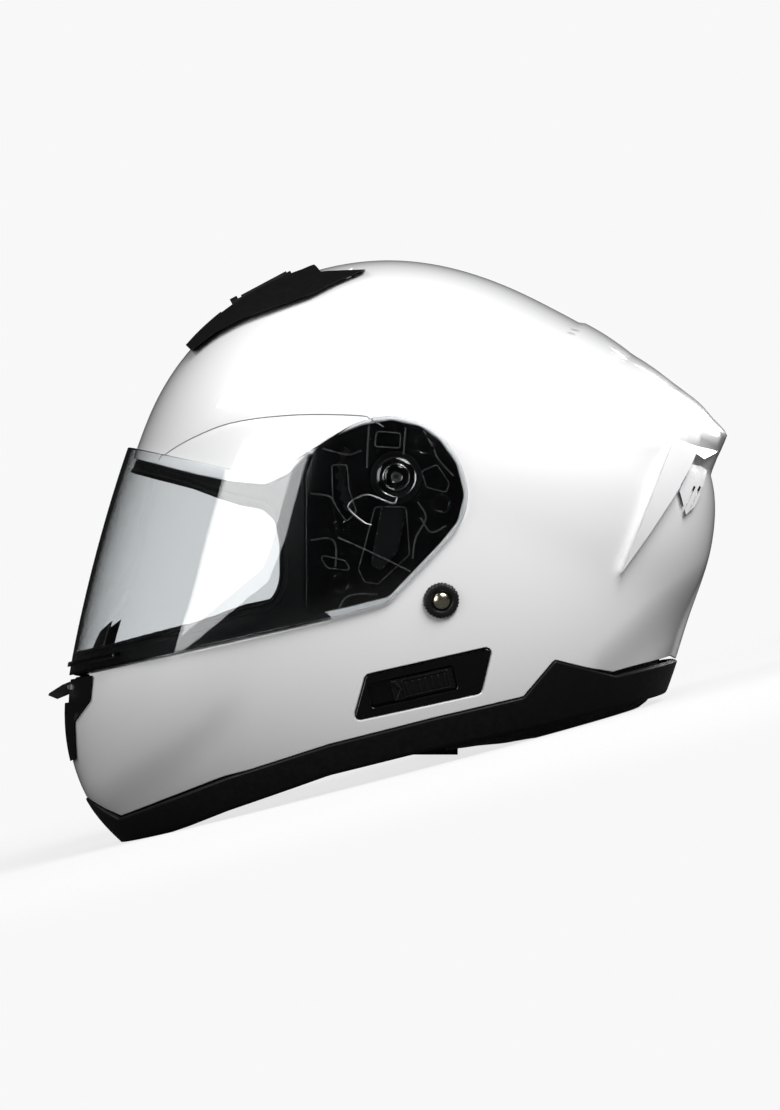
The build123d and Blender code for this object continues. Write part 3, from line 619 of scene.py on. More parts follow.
def grained(name, color, wornAndSheen, scale, smoothest, roughest, height, amount=0.5, **sockets):
    # moulded plastic or rubber: grain bump, uneven roughness, lighter edges that are partly wear and partly
    # painted sheen
    material, tree, shader = finish(name, color, roughest, **sockets)
    texture = node(tree, "ShaderNodeGroup", {"Scale": scale, "Smooth": smoothest, "Rough": roughest},
                   node_tree=grain)
    rubbedAndSheen = node(tree, "ShaderNodeGroup", {"Color": (*color, 1), "WornAndSheen": (*wornAndSheen, 1), "Amount": amount},
                  node_tree=wearAndSheen)
    bump = node(tree, "ShaderNodeBump", {"Strength": 0.5, "Distance": height})
    wire(tree, (texture, "Height", bump, "Height"), (bump, "Normal", shader, "Normal"),
               (texture, "Roughness", shader, "Roughness"), (rubbedAndSheen, "Color", shader, "Base Color"))
    return material


def woven(name, dark, light, threads, height, roughness=0.85, **sockets):
    # fabric: the weave on the piece's own place, a mottled shade over it
    material, tree, shader = finish(name, light, roughness, **sockets)
    place = node(tree, "ShaderNodeTexCoord")
    cloth = node(tree, "ShaderNodeGroup", {"Threads": threads, "Dark": (*dark, 1), "Light": (*light, 1)},
                 node_tree=weave)
    mottle = node(tree, "ShaderNodeTexNoise", {"Scale": 60.0, "Detail": 5.0})
    tone = node(tree, "ShaderNodeMapRange", {"From Min": 0.3, "From Max": 0.7, "To Min": 0.75,
                                             "To Max": 1.15})
    shade = node(tree, "ShaderNodeMix", {"Factor": 1.0}, data_type="RGBA", blend_type="MULTIPLY")
    bump = node(tree, "ShaderNodeBump", {"Strength": 0.7, "Distance": height})
    wire(tree, (place, "Object", cloth, "Vector"), (place, "Object", mottle, "Vector"),
               (mottle, "Fac", tone, "Value"), (cloth, "Color", shade, "A"), (tone, "Result", shade, "B"),
               (shade, "Result", shader, "Base Color"), (cloth, "Height", bump, "Height"),
               (bump, "Normal", shader, "Normal"))
    return material


def glossPaint(name, color):
    # white base coat under clear lacquer: a trace of orange peel in the lacquer, mottle in the roughness
    material, tree, shader = finish(name, color, 0.28, Coat_Weight=1.0, Coat_Roughness=0.03,
                                    Specular_IOR_Level=0.45)
    place = node(tree, "ShaderNodeTexCoord")
    peel = node(tree, "ShaderNodeTexNoise", {"Scale": 140.0, "Detail": 2.0})
    cloud = node(tree, "ShaderNodeTexNoise", {"Scale": 18.0, "Detail": 5.0})
    rough = node(tree, "ShaderNodeMapRange", {"From Min": 0.35, "From Max": 0.65, "To Min": 0.275,
                                              "To Max": 0.285})
    tint = node(tree, "ShaderNodeMix", data_type="RGBA")
    tint.inputs["A"].default_value = (*color, 1)
    tint.inputs["B"].default_value = (*[c * 0.999 for c in color], 1)
    bump = node(tree, "ShaderNodeBump", {"Strength": 0.06, "Distance": 0.0002})
    wire(tree, (place, "Object", peel, "Vector"), (place, "Object", cloud, "Vector"),
               (cloud, "Fac", rough, "Value"), (cloud, "Fac", tint, "Factor"),
               (tint, "Result", shader, "Base Color"), (rough, "Result", shader, "Roughness"),
               (peel, "Fac", bump, "Height"), (bump, "Normal", shader, "Normal"))
    return material


def clearPlastic(name, color, roughness=0.0, ior=1.5):
    # polycarbonate: plain transmission, faint moulding flow in the normal
    material, tree, shader = finish(name, color, roughness, Transmission_Weight=1.0, IOR=ior)
    place = node(tree, "ShaderNodeTexCoord")
    flowLines = node(tree, "ShaderNodeTexNoise", {"Scale": 14.0, "Detail": 1.0})
    bump = node(tree, "ShaderNodeBump", {"Strength": 0.02, "Distance": 0.0004})
    wire(tree, (place, "Object", flowLines, "Vector"), (flowLines, "Fac", bump, "Height"),
               (bump, "Normal", shader, "Normal"))
    return material


paint = glossPaint("whitePaint", (0.86, 0.86, 0.865))
rimRubber = grained("rimRubber", (0.004, 0.004, 0.0045), (0.03, 0.03, 0.03), 2600, 0.42, 0.6, 0.0002,
                    Specular_IOR_Level=0.2)
gasketRubber = grained("gasketRubber", (0.003, 0.003, 0.0035), (0.03, 0.03, 0.03), 3200, 0.38, 0.55, 0.0001,
                       Specular_IOR_Level=0.2)
glossBlack = grained("glossBlack", (0.002, 0.002, 0.0025), (0.05, 0.05, 0.05), 900, 0.12, 0.2, 0.00003, 0.3,
                    Specular_IOR_Level=0.35)
satinBlack = grained("satinBlack", (0.005, 0.005, 0.0055), (0.07, 0.07, 0.07), 2400, 0.3, 0.42, 0.0001,
                    Specular_IOR_Level=0.25)
# lighter black for the mechanism's ribs and pocket edges: painted highlight along its edges
ribPaintedHighlight = grained("ribPaintedHighlight", (0.05, 0.05, 0.052), (0.12, 0.12, 0.12), 1800, 0.25, 0.4, 0.00005)
seamFill = grained("seamFill", (0.3, 0.3, 0.3), (0.4, 0.4, 0.4), 1200, 0.4, 0.5, 0.00003)
inletGrey = grained("inletGrey", (0.35, 0.36, 0.38), (0.5, 0.5, 0.5), 1200, 0.28, 0.4, 0.00005)
grilleWhite = grained("grilleWhite", (0.8, 0.8, 0.81), (0.9, 0.9, 0.9), 1200, 0.25, 0.35, 0.00005)
foamBeads = grained("foamBeads", (0.05, 0.05, 0.052), (0.1, 0.1, 0.1), 330, 0.7, 0.85, 0.0008)
redPlastic = grained("redPlastic", (0.5, 0.03, 0.02), (0.6, 0.2, 0.15), 1800, 0.35, 0.5, 0.0001)
steel = grained("steel", (0.55, 0.55, 0.56), (0.75, 0.75, 0.75), 1400, 0.22, 0.36, 0.00005, Metallic=1.0)
darkSteel = grained("darkSteel", (0.05, 0.05, 0.052), (0.3, 0.3, 0.3), 1400, 0.25, 0.4, 0.00005, Metallic=0.8)
brass = grained("rivetBrass", (0.5, 0.45, 0.36), (0.8, 0.75, 0.65), 900, 0.18, 0.3, 0.00005, Metallic=1.0)
clearVisor = clearPlastic("clearVisor", (0.84, 0.86, 0.87), ior=1.6)
clearHub = clearPlastic("clearHub", (0.8, 0.82, 0.83), 0.05)
sunTint = clearPlastic("sunTint", (0.12, 0.12, 0.13), 0.02)
tabPlastic = clearPlastic("tabPlastic", (0.35, 0.36, 0.38), 0.05)
meshFabric = woven("meshFabric", (0.006, 0.006, 0.007), (0.035, 0.035, 0.038), 2600, 0.0005, Sheen_Weight=0.3)
brushedFabric = woven("brushedFabric", (0.03, 0.03, 0.033), (0.06, 0.06, 0.065), 5200, 0.0002,
                      Sheen_Weight=0.5)
webbing = woven("webbing", (0.008, 0.008, 0.009), (0.05, 0.05, 0.052), 4200, 0.0003, Sheen_Weight=0.2)
print("materials made")

# outer shell
trimTop = [(-220, -125), (-155.3, -162.9), (-147, -167.6), (-139.6, -171.2), (-117.8, -162.2),
           (-84.7, -148.9),
           (-33.7, -132.1), (19.7, -118.5), (63, -108.5), (78.4, -90.3), (109.7, -98.4), (141.1, -91.6),
           (220, -75)]
trimBottom = [(-220, -205), (-136, -183.6), (-125.5, -180.4), (-105, -172.8), (-84.7, -164.4), (-54, -153.4),
              (-33.7, -146), (6, -136), (70, -122.4), (133, -108), (220, -88)]
mechanismOutline = rounded([(-44.5, 0.5), (-40, 14), (-31, 20), (-17, 25.6), (-2.5, 28.1), (12, 24.8),
                            (21.4, 18),
                            (29.6, 6.6), (33.4, -8.7), (30.2, -21.8), (21.4, -32.6), (8.2, -46.4),
                            (-3.8, -59),
                            (-24, -64), (-44.5, -68.4)], [5, 9, 9, 9, 9, 9, 9, 9, 9, 9, 9, 12, 6, 6, 4])
topVent = rounded([(-103, 64.8), (-90.8, 73.6), (-77.6, 80), (-53, 88.2), (-41.8, 92), (-28.9, 98.9),
                   (-15.3, 105), (-38, 104.6), (-60, 135), (-140, 100)], [0, 3, 5, 5, 5, 5, 1, 0, 0, 0])
chinVent = rounded([(-152.2, -98.6), (-153.3, -111), (-162.2, -122.3), (-162.2, -141.7), (-200, -158),
                    (-200, -98.6)], [3, 5, 4, 2, 0, 0])
panelOutline = rounded([(-15.1, -97.4), (47.6, -83.3), (42.1, -106.8), (-21.5, -120.7)], 2.5)
rivetAt = (22.1, -60.5)


def circle(y, z, radius, step=0.7):
    n = max(12, int(2 * math.pi * radius / step))
    a = np.linspace(0, 2 * np.pi, n, endpoint=False)
    return np.stack([y + radius * np.cos(a), z + radius * np.sin(a)], -1)


def lineHeight(y, line):
    # height of a side-view line over a place
    line = np.asarray(line, float)
    return np.interp(y, line[:, 0], line[:, 1])


def aboveLine(y, z, line):
    return z > lineHeight(y, line)


relief = {
    # crest and foot of the wing that runs back to the tail, (y, z), and its height at the tail, mm
    "crest": [(20, 73), (37.7, 70.9), (58.1, 68.9), (83.6, 63.8), (104, 57.1), (129.5, 45.9), (149.9, 35.2),
              (168, 24)],
    "foot": [(20, 72.5), (32.6, 69.6), (53, 64.6), (76, 54.3), (104, 38.8), (124.4, 27), (137.7, 19.9),
             (168, 10)],
    "wingHeight": 3.4, "crestFall": 26,
    "wingRise": (24, 120), "wingEnd": (148, 172),   # y over which the wing grows and dies away
    # crease over the undercut at the back, its depth, its width below the crease and where it begins
    "undercut": [(96, -86), (127.5, -58.1), (146, -46), (161, -36.5)],
    "undercutDepth": 3.2, "undercutFall": 34, "undercutStart": (88, 104),
    # crease along the chin bar, the depth and width under it and where it fades at its two ends
    "chin": [(-146, -150), (-112, -128), (-80, -99.5), (-70, -92)],
    "chinDepth": 1.6, "chinFall": 26, "chinFront": (-168, -140), "chinBack": (-92, -70),
    # fine seam over the brow, from the visor to the pod
    "seam": [(-117.5, 9.0), (-114.4, 12.8), (-100.5, 20.4), (-80.5, 27.4), (-50, 30.8), (-18.4, 30.3),
             (-12, 28.0),
             (-5.5, 24.2)],
    "seamWidth": 0.55, "seamDepth": 0.25,
}
seamLine = openSpline(relief["seam"], 0.8)


def distanceTo(y, z, line):
    # distance from side-view places to the nearest point of a finely sampled line
    near = np.full(np.shape(y), 1e9)
    for a, b in zip(line[:-1], line[1:]):
        d = b - a
        t = np.clip(((y - a[0]) * d[0] + (z - a[1]) * d[1]) / (d @ d), 0, 1)
        near = np.minimum(near, np.hypot(y - a[0] - t * d[0], z - a[1] - t * d[1]))
    return near


def shellRelief(y, z):
    # wing, undercut, chin crease and seam as one height over the side view, mm
    crest, low = lineHeight(y, relief["crest"]), lineHeight(y, relief["foot"])
    amount = relief["wingHeight"] * smooth(*relief["wingRise"], y)
    up = np.clip((z - low) / np.maximum(crest - low, 0.5), 0, 1)
    fall = 1 - smooth(0, relief["crestFall"], z - crest)
    h = amount * np.where(z < crest, up * (0.55 + 0.45 * up), fall) * (1 - smooth(*relief["wingEnd"], y))
    under = lineHeight(y, relief["undercut"]) - z
    h = h - relief["undercutDepth"] * smooth(0, relief["undercutFall"],
                                             under) * smooth(*relief["undercutStart"], y)
    under = lineHeight(y, relief["chin"]) - z
    h = h - (relief["chinDepth"] * smooth(0, relief["chinFall"], under) * (1 - smooth(*relief["chinBack"], y))
             * smooth(*relief["chinFront"], y))
    nearSeam = (z > 5) & (z < 35) & (y < 0) & (y > -122)
    seam = np.full(np.shape(y), 9.0)
    if np.any(nearSeam):
        seam[nearSeam] = distanceTo(y[nearSeam], z[nearSeam], seamLine[::3])
    return h - relief["seamDepth"] * (1 - smooth(0, relief["seamWidth"], seam))


def shellSurface(turn, swing):
    bare = ovoid(turn, swing, shellReach(turn, swing), shell["halfWidth"])
    middle = smooth(0.0, 0.10, np.abs(swing))   # no relief on the mid-width line
    return bare + unit(bare) * (shellRelief(bare[..., 1], bare[..., 2]) * middle)[..., None]


surround = {
    # black surround of the eye port: where the painted shell ends, and the opening itself
    "outside": [(-230, 38.5), (-136, 11.2), (-100, 1.8), (-82.5, -2.0), (-64, -3.8), (-53, 1.5), (-44, 11),
                (-36, 12),
                (-36, -66), (-30, -69.9), (-230, -114.9)],
    "outsideRadii": [0, 20, 20, 20, 8, 8, 4, 1, 1, 1, 0],
    "opening": [(-230, 30), (-135.1, 4.0), (-105.3, -3.6), (-85, -11.2), (-67.3, -14.6), (-60, -21),
                (-57.6, -32),
                (-57.4, -52), (-62, -61), (-81.2, -65), (-92.6, -69.6), (-107.9, -74.5), (-150, -85),
                (-230, -103)],
    "openingRadii": [0, 30, 30, 30, 8, 6, 20, 20, 8, 20, 20, 20, 20, 0],
    "inset": 1.6, "depth": 5.0, "rim": 1.0, "bead": 1.1,
}
portCut = rounded(surround["outside"], surround["outsideRadii"])
mechanismCut = grown(mechanismOutline, 0.1)
topVentCut = grown(topVent, -4)
panelCut = grown(panelOutline, 0.15)
rivetCut = circle(*rivetAt, 3.2)


def shellKept(y, z):
    found = aboveLine(y, z, trimTop) & ~within(y, z, portCut) & ~within(y, z, mechanismCut)
    return found & ~within(y, z, chinVent) & ~within(y, z, topVentCut) & ~within(y, z, rivetCut)


trimEdge = resampled(trimTop, 0.8)
shellPiece = ovoidPiece("shell.paint", shellSurface,
                        [portCut, mechanismCut, chinVent, topVentCut, rivetCut], shellKept,
                        shell["thickness"], shell["rim"], shell["spacing"], under=layer(shell["thickness"]),
                        creases=[trimEdge, seamLine] + [grownOpen(seamLine, k * relief["seamWidth"])
                                                        for k in (-1, 1)]
                        + [resampled(relief[k], 2.0) for k in ("undercut", "chin")]
                        + [resampled(relief[k], 1.5)[12:] for k in ("crest", "foot")], onlyLeft=[panelCut],
                        keptLeft=lambda y, z: ~within(y, z, panelCut))
fitted(shellPiece, paint, "helmet", "shell_paint", "outer_shell")
print("shell:", len(shellPiece.data.polygons), "triangles")

# visor
visor = {
    "halfWidth": 129.8,
    "thickness": 2.2,
    # how far it stands out of the shell's outline, by clockwise turn from the back
    "standoff": [(0, 2.8), (60, 2.8), (120, 1.6), (145, 0.4), (152, 1.2), (160, 3.2), (172, 4.3), (185, 4.6),
                 (200, 4.2), (240, 3.2), (300, 2.8)],
    "pod": [(-28.5, 22), (-17, 27.6), (-2.5, 30.1), (12.8, 26.5), (22.8, 19.4), (31.5, 7.3), (35.4, -8.7),
            (32.1, -22.7), (22.8, -34), (9.5, -47.9), (-2.5, -60.7)],
}
visorReachTable = tableReach + periodicSpline([math.radians(angle) for angle, out in visor["standoff"]],
                                              [out for angle, out in visor["standoff"]], tableTurns)


def visorReach(turn):
    return np.interp(np.mod(turn, 2 * np.pi), tableTurns, visorReachTable)


def visorSurface(turn, swing):
    return ovoid(turn, swing, visorReach(turn), visor["halfWidth"])


def visorInside(turn, swing):
    return ovoid(turn, swing, visorReach(turn) - visor["thickness"], visor["halfWidth"] - visor["thickness"])


podCurve = openSpline([(-62, 3.0), (-49, 9.2)] + visor["pod"])
visorOutline = np.vstack([resampled([(-230, 38), (-82, 4.1), (-62, 3.0)], 0.8)[:-1], podCurve,
                          resampled([visor["pod"][-1], (-6.6, -62.7), (-28.6, -68.7), (-230, -114),
                                     (-230, 38)],
                                    0.8)[1:-1]])
hubHole = circle(0, 0, 6.3)
visorPiece = ovoidPiece("visor.shield", visorSurface, [visorOutline, hubHole],
                        lambda y, z: within(y, z, visorOutline) & ~within(y, z, hubHole),
                        visor["thickness"], 0.55, 3.4, reach=visorReach, under=visorInside)
fitted(visorPiece, clearVisor, "visor", "clear_visor", "visor")
print("visor:", len(visorPiece.data.polygons), "triangles")

# trim, gasket and small turned parts
def bareSkin(turn, swing, inset):
    # places under the bare ovoid and the outward normals there
    points, normals = flow(layer(0), turn, swing)
    normals = np.where(np.sum(points * normals, 1)[:, None] < 0, -normals, normals)
    return points - inset * normals, normals


def onSkin(line, inset, side=1):
    # side-view places lifted onto the ovoid, with the outward normals there
    line = np.asarray(line, float)
    turn = np.arctan2(-line[:, 1], line[:, 0])
    share = np.clip(np.hypot(line[:, 0], line[:, 1]) / bareReach(turn), 0, 1)
    points, normals = bareSkin(turn, np.arccos(share ** (shell["roundness"] / 2)), inset)
    return points * [side, 1, 1], normals * [side, 1, 1]


def wholeLoop(line, inset, every, closed=False):
    # a side-view line carried round both sides of the ovoid as one closed loop, with its normals
    turn, swing = fromDisc(discLines(line, closed=closed, step=0.5)[0][0])
    loop = []
    for half in bareSkin(turn, np.maximum(swing, 0), inset):
        half = every(half)
        loop.append(np.vstack([half, (half * [-1, 1, 1])[::-1][1:-1]]))
    return loop


def thinned(half):
    # a quarter of the places, evenly, with both ends
    return half[np.unique(np.round(np.linspace(0, len(half) - 1, int(len(half) * 0.25))).astype(int))]


def ellipseProfile(a, b, n=20, power=2.4):
    # closed superellipse, anticlockwise
    t = np.linspace(0, 2 * np.pi, n, endpoint=False)
    c, s = np.cos(t), np.sin(t)
    return np.stack([a * np.sign(c) * np.abs(c) ** (2 / power), b * np.sign(s) * np.abs(s) ** (2 / power)],
                    -1)


def alongSkin(name, path, normals, profile, closed=False, mirror=False):
    # profile carried along a path on the skin: p0 across it in the skin, p1 along its normal
    tangent = np.roll(path, -1, 0) - np.roll(path, 1, 0)
    if not closed:
        tangent[0], tangent[-1] = path[1] - path[0], path[-1] - path[-2]
    tangent = unit(tangent)
    across = unit(np.cross(tangent, normals))
    return swept(name, path, across, np.cross(across, tangent), profile, closed, mirror)


def skinFrame(y, z, side=1, inset=0.0):
    # place and axes on the shell over a side-view place: e0 backwards, e1 upwards, e2 outwards
    points, normals = onSkin([(y, z)], inset)
    n = normals[0]
    e0 = unit(np.array([0.0, 1.0, 0.0]) - n * n[1])
    flip = np.array([side, 1, 1])
    return points[0] * flip, e0 * flip, np.cross(n, e0) * flip, n * flip


def lathe(name, place, profile, segments=48, ribs=0, ribDepth=0.0, ribRange=(0, 0)):
    # (radius, height) profile turned round the frame's normal; ribs wave the radius between two radii
    origin, e0, e1, e2 = place
    profile = np.asarray(profile, float)
    t = np.linspace(0, 2 * np.pi, segments, endpoint=False)
    r = np.repeat(profile[:, :1], segments, 1)
    if ribs:
        wave = 0.5 - 0.5 * np.sign(np.sin(ribs * t))
        inRange = (profile[:, 0] >= ribRange[0]) & (profile[:, 0] <= ribRange[1])
        r = r - inRange[:, None] * ribDepth * wave[None]
    h = np.repeat(profile[:, 1:], segments, 1)
    spoke = np.cos(t)[None, :, None] * e0 + np.sin(t)[None, :, None] * e1
    points = (origin + r[..., None] * spoke + h[..., None] * e2).reshape(-1, 3)
    slope = unit(np.gradient(profile, axis=0))
    normals = (slope[:, 1, None, None] * spoke - slope[:, 0, None, None] * e2).reshape(-1, 3)
    faces = gridFaces(len(profile), segments)
    faces = faces[np.linalg.norm(facing(points, faces), axis=1) > 1e-9]
    centred = points - points.mean(0)
    volume = np.sum(centred[faces[:, 0]] * np.cross(centred[faces[:, 1]], centred[faces[:, 2]]))
    piece = meshPiece(name, points, normals, faces[:, ::-1] if volume < 0 else faces)
    sharpen(piece, 40)
    return piece


def sharpen(piece, angle):
    # smooth shading that breaks at edges sharper than an angle, doubles merged, normals made even
    mesh = piece.data
    bm = bmesh.new()
    bm.from_mesh(mesh)
    bmesh.ops.remove_doubles(bm, verts=bm.verts, dist=2e-6)
    bmesh.ops.dissolve_degenerate(bm, edges=bm.edges, dist=1e-6)
    bmesh.ops.recalc_face_normals(bm, faces=bm.faces)
    bm.to_mesh(mesh)
    bm.free()
    if mesh.attributes.get("custom_normal"):
        mesh.attributes.remove(mesh.attributes["custom_normal"])
    mesh.polygons.foreach_set("use_smooth", np.ones(len(mesh.polygons), bool))
    mesh.set_sharp_from_angle(angle=math.radians(angle))
    return piece


def joined(name, pieces):
    # several meshes made one piece
    base = pieces[0]
    bpy.ops.object.select_all(action="DESELECT")
    for piece in pieces:
        piece.select_set(True)
    bpy.context.view_layer.objects.active = base
    bpy.ops.object.join()
    base.name = name
    base.data.name = name
    return base


def dressed(name, cadNode, material, body, slotName, bevel=0.3, angle=35):
    # a moulded part's own form from the frame, merged, its edges rounded by a bevel
    mesh = nodes[cadNode].data.copy()
    piece = placed(name, mesh)
    sharpen(piece, angle)
    bm = bmesh.new()
    bm.from_mesh(mesh)
    bmesh.ops.dissolve_limit(bm, angle_limit=math.radians(1.5), verts=bm.verts, edges=bm.edges)
    bm.to_mesh(mesh)
    bm.free()
    mesh.set_sharp_from_angle(angle=math.radians(angle))
    if bevel:
        rounding = piece.modifiers.new("edges", "BEVEL")
        rounding.width = bevel / 1000
        rounding.segments = 2
        rounding.limit_method = "ANGLE"
        rounding.angle_limit = math.radians(angle)
        rounding.harden_normals = True
    return fitted(piece, material, body, slotName, cadNode)


trim = {"proud": 1.0, "depth": 3.0, "rim": 0.9, "footWidth": 3.4, "footHeight": 2.2}
trimPiece = ovoidPiece("trim.rim", layer(-trim["proud"]), [], lambda y, z: ~aboveLine(y, z, trimTop)
                       & aboveLine(y, z, trimBottom),
                       trim["depth"], trim["rim"], 3.2, creases=[trimEdge, resampled(trimBottom, 0.8)])
footPath, footNormals = wholeLoop(trimBottom, 2.6, thinned)
foot = alongSkin("trim.foot", footPath, footNormals, ellipseProfile(trim["footHeight"], trim["footWidth"]),
                 closed=True)
fitted(trimPiece, rimRubber, "helmet", "rim_trim", "base_trim")
fitted(foot, rimRubber, "helmet", "rim_trim")

opening = rounded(surround["opening"], surround["openingRadii"])
surroundOutside = grown(portCut, -0.3)
podGap = grown(mechanismOutline, 0.25)
surroundPiece = ovoidPiece("surround.plate", layer(surround["inset"]), [surroundOutside, opening, podGap],
                           lambda y, z: within(y, z, surroundOutside) & ~within(y, z, opening)
                           & ~within(y, z, podGap),
                           surround["depth"], surround["rim"], 2.6)
beads = []
for name, out, inset, size in (("surround.bead", 0.9, 1.9, surround["bead"]),
                               ("surround.bead2", 4.2, 1.8, 0.5)):
    path, normals = wholeLoop(grown(opening, out), inset, lambda half: half[::3], closed=True)
    beads.append(alongSkin(name, path, normals, ellipseProfile(size, size, 14, 2.0), closed=True))
fitted(surroundPiece, gasketRubber, "helmet", "gasket_rubber", "eyeport_gasket")
fitted(joined("surround.beads", beads), gasketRubber, "helmet", "gasket_rubber")

seams = []
for side in (1, -1):
    points, normals = onSkin(seamLine[::2], 0.0, side)
    seams.append(alongSkin("shell.seam", points, normals, ellipseProfile(0.24, 0.16, 8, 2.0),
                           mirror=side < 0))
fitted(joined("shell.seam", seams), seamFill, "helmet", "shell_paint")

rivetShape = {"ribs": 30, "ribDepth": 0.35, "ribbed": (5.5, 9.2), "dome": (4.3, 2.0, 2.1)}
for side, hand in hands:
    place = skinFrame(*rivetAt, side)
    washer = lathe("rivet.washer." + hand, place,
                   [(3.05, -0.2), (3.05, 1.5), (4.9, 1.6), (5.4, 2.2), (6.2, 2.4), (8.0, 2.2), (8.7, 1.6),
                    (8.9, 0.9),
                    (8.9, -0.3), (3.05, -0.2)], 180, rivetShape["ribs"], rivetShape["ribDepth"],
                   rivetShape["ribbed"])
    fitted(washer, satinBlack, "helmet", "matte_black", "rivet_washer_" + hand)
    bow = np.linspace(0, math.pi / 2, 10)
    radius, foot, rise = rivetShape["dome"]
    dome = [(radius * math.cos(a), foot + rise * math.sin(a)) for a in bow]
    head = lathe("rivet.head." + hand, place, [(0.0, -9.0), (3.0, -9.0), (3.0, 1.7), (4.3, 1.75)] + dome[:-1]
                 + [(0.0, 4.1)], 64)
    fitted(head, brass, "helmet", "steel", "strap_rivet_" + hand)
print("trim, gasket and rivets")

# visor mechanism
mechanism = {
    "inset": 1.6, "depth": 4.2, "rim": 0.6, "floor": 120.9,
    "screws": [(-27.5, -52.5), (14.0, 15.8), (22.0, -13.0)],
    "hubPocket": 13.4,
    "leverPocket": [(-18.5, -45.4), (-15.5, -51.5), (-9, -52.5), (6.5, -38), (4.9, -14.6), (-10.4, -14.6)],
    "leverLevels": (121.2, 123.6), "ringLevels": (121.2, 123.4), "ringRadii": (12.6, 9.8),
    "quadrantLevels": (121.5, 123.9), "quadrantRadii": (29.6, 24.8), "toothDepth": 1.5, "teeth": 6,
    "quadrantArc": (150, 214),
    "lever": [(-6.4, -10), (-12.5, -43), (-7.5, -46), (1.0, -36), (6.4, -10)],
    "arcPocket": [(-31.5, 6), (-24, 6), (-23.2, -6), (-19.5, -17), (-24.5, -22), (-31, -12)],
    "lowerPocket": [(-38, -38), (-25, -41), (-22, -46), (-34, -44.5)],
    "rearPocket": [(12.5, 3), (20, 6), (26, -3), (24.5, -7.5), (14.8, -5)],
    "topPocket": [(-10.5, 15), (1.8, 14.2), (2.2, 21.5), (-9.4, 22.4)],
    "ribs": [[(-13.3, 25.4), (-14.0, 15), (-14.3, 4.6)], [(4.6, 24.2), (4.1, 18), (3.6, 11.2)],
             [(13.3, 23), (17.8, 15), (20.4, 9), (28.2, 0.4)], [(-28.6, -29.6), (-10, -38), (7.0, -46.4)],
             [(-28, -64), (-24.5, -59.0), (-17.9, -57.4), (-9, -57.6)], [(-42, -8), (-33, -9.4), (-30, -13)],
             [(-42, -31), (-33, -30), (-29.6, -34), (-29.8, -44)], [(12, -20), (17, -27), (24.5, -24)],
             [(10.5, -12), (14.5, -20), (9.5, -30), (8, -40)], [(-36, 14), (-24, 11), (-17, 13)]],
    "spring": [(-12.2, -23.5), (-16.3, -21.9), (-23.5, -14.3), (-14.8, -8.7), (-2, -12.8), (0.6, -10.2)],
    "knob": (-27.4, -25.2),
    # (radius, height) profiles
    "boss": [(3.6, -2.0), (3.6, 0.5), (4.0, 0.8), (4.7, 0.8), (5.1, 0.4), (5.1, -2)],
    "hub": [(2.6, 121.0), (2.6, 128.6), (3.2, 128.9), (5.4, 128.9), (5.9, 128.5), (6.15, 127.8),
            (6.15, 121.0),
            (2.6, 121.0)],
    "collar": [(6.35, 124.4), (6.35, 129.7), (6.9, 130.25), (8.6, 130.25), (9.5, 129.6), (9.7, 128.6),
               (9.7, 124.4),
               (6.35, 124.4)],
    "hubScrew": [(0.0, 126.6), (1.25, 126.6), (1.25, 127.9), (1.5, 128.1), (2.2, 128.0), (2.5, 127.5),
                 (2.5, 121.5),
                 (0.0, 121.5)],
    "screw": [(0.0, -0.9), (1.1, -0.9), (1.15, 0.1), (1.6, 0.35), (2.6, 0.15), (3.0, -0.4), (3.0, -2.2),
              (0.0, -2.2)],
    "knobShape": [(0, -1), (4.2, -1), (4.2, 0.9), (3.7, 1.3), (2.2, 1.2), (1.7, 0.5), (0.0, 0.5)],
}


def baseHeight(y, z):
    return sideWidth(y, z, mechanism["inset"])


def floorHeight(y, z):
    return np.minimum(mechanism["floor"], baseHeight(y, z) - 2.4)


def lineOnBase(name, line, lift, profile, side, closed=False):
    # profile carried along a side-view line that lies on the base
    spine = np.column_stack([baseHeight(line[:, 0], line[:, 1]) + lift, line])
    return alongSkin(name, spine, np.tile([1.0, 0, 0], (len(spine), 1)), profile, closed, side < 0)


def toothedArc():
    # sector between two radii, square teeth cut into the outer one
    arcs = np.radians(np.linspace(*mechanism["quadrantArc"], 24))
    outer, inner = mechanism["quadrantRadii"]
    wave = np.sin(np.linspace(0, 1, 24) * mechanism["teeth"] * 2 * np.pi)
    outer = outer - mechanism["toothDepth"] * (wave > 0.2)
    back = arcs[::-1]
    return np.vstack([np.stack([outer * np.cos(arcs), outer * np.sin(arcs)], -1),
                      np.stack([inner * np.cos(back), inner * np.sin(back)], -1)])


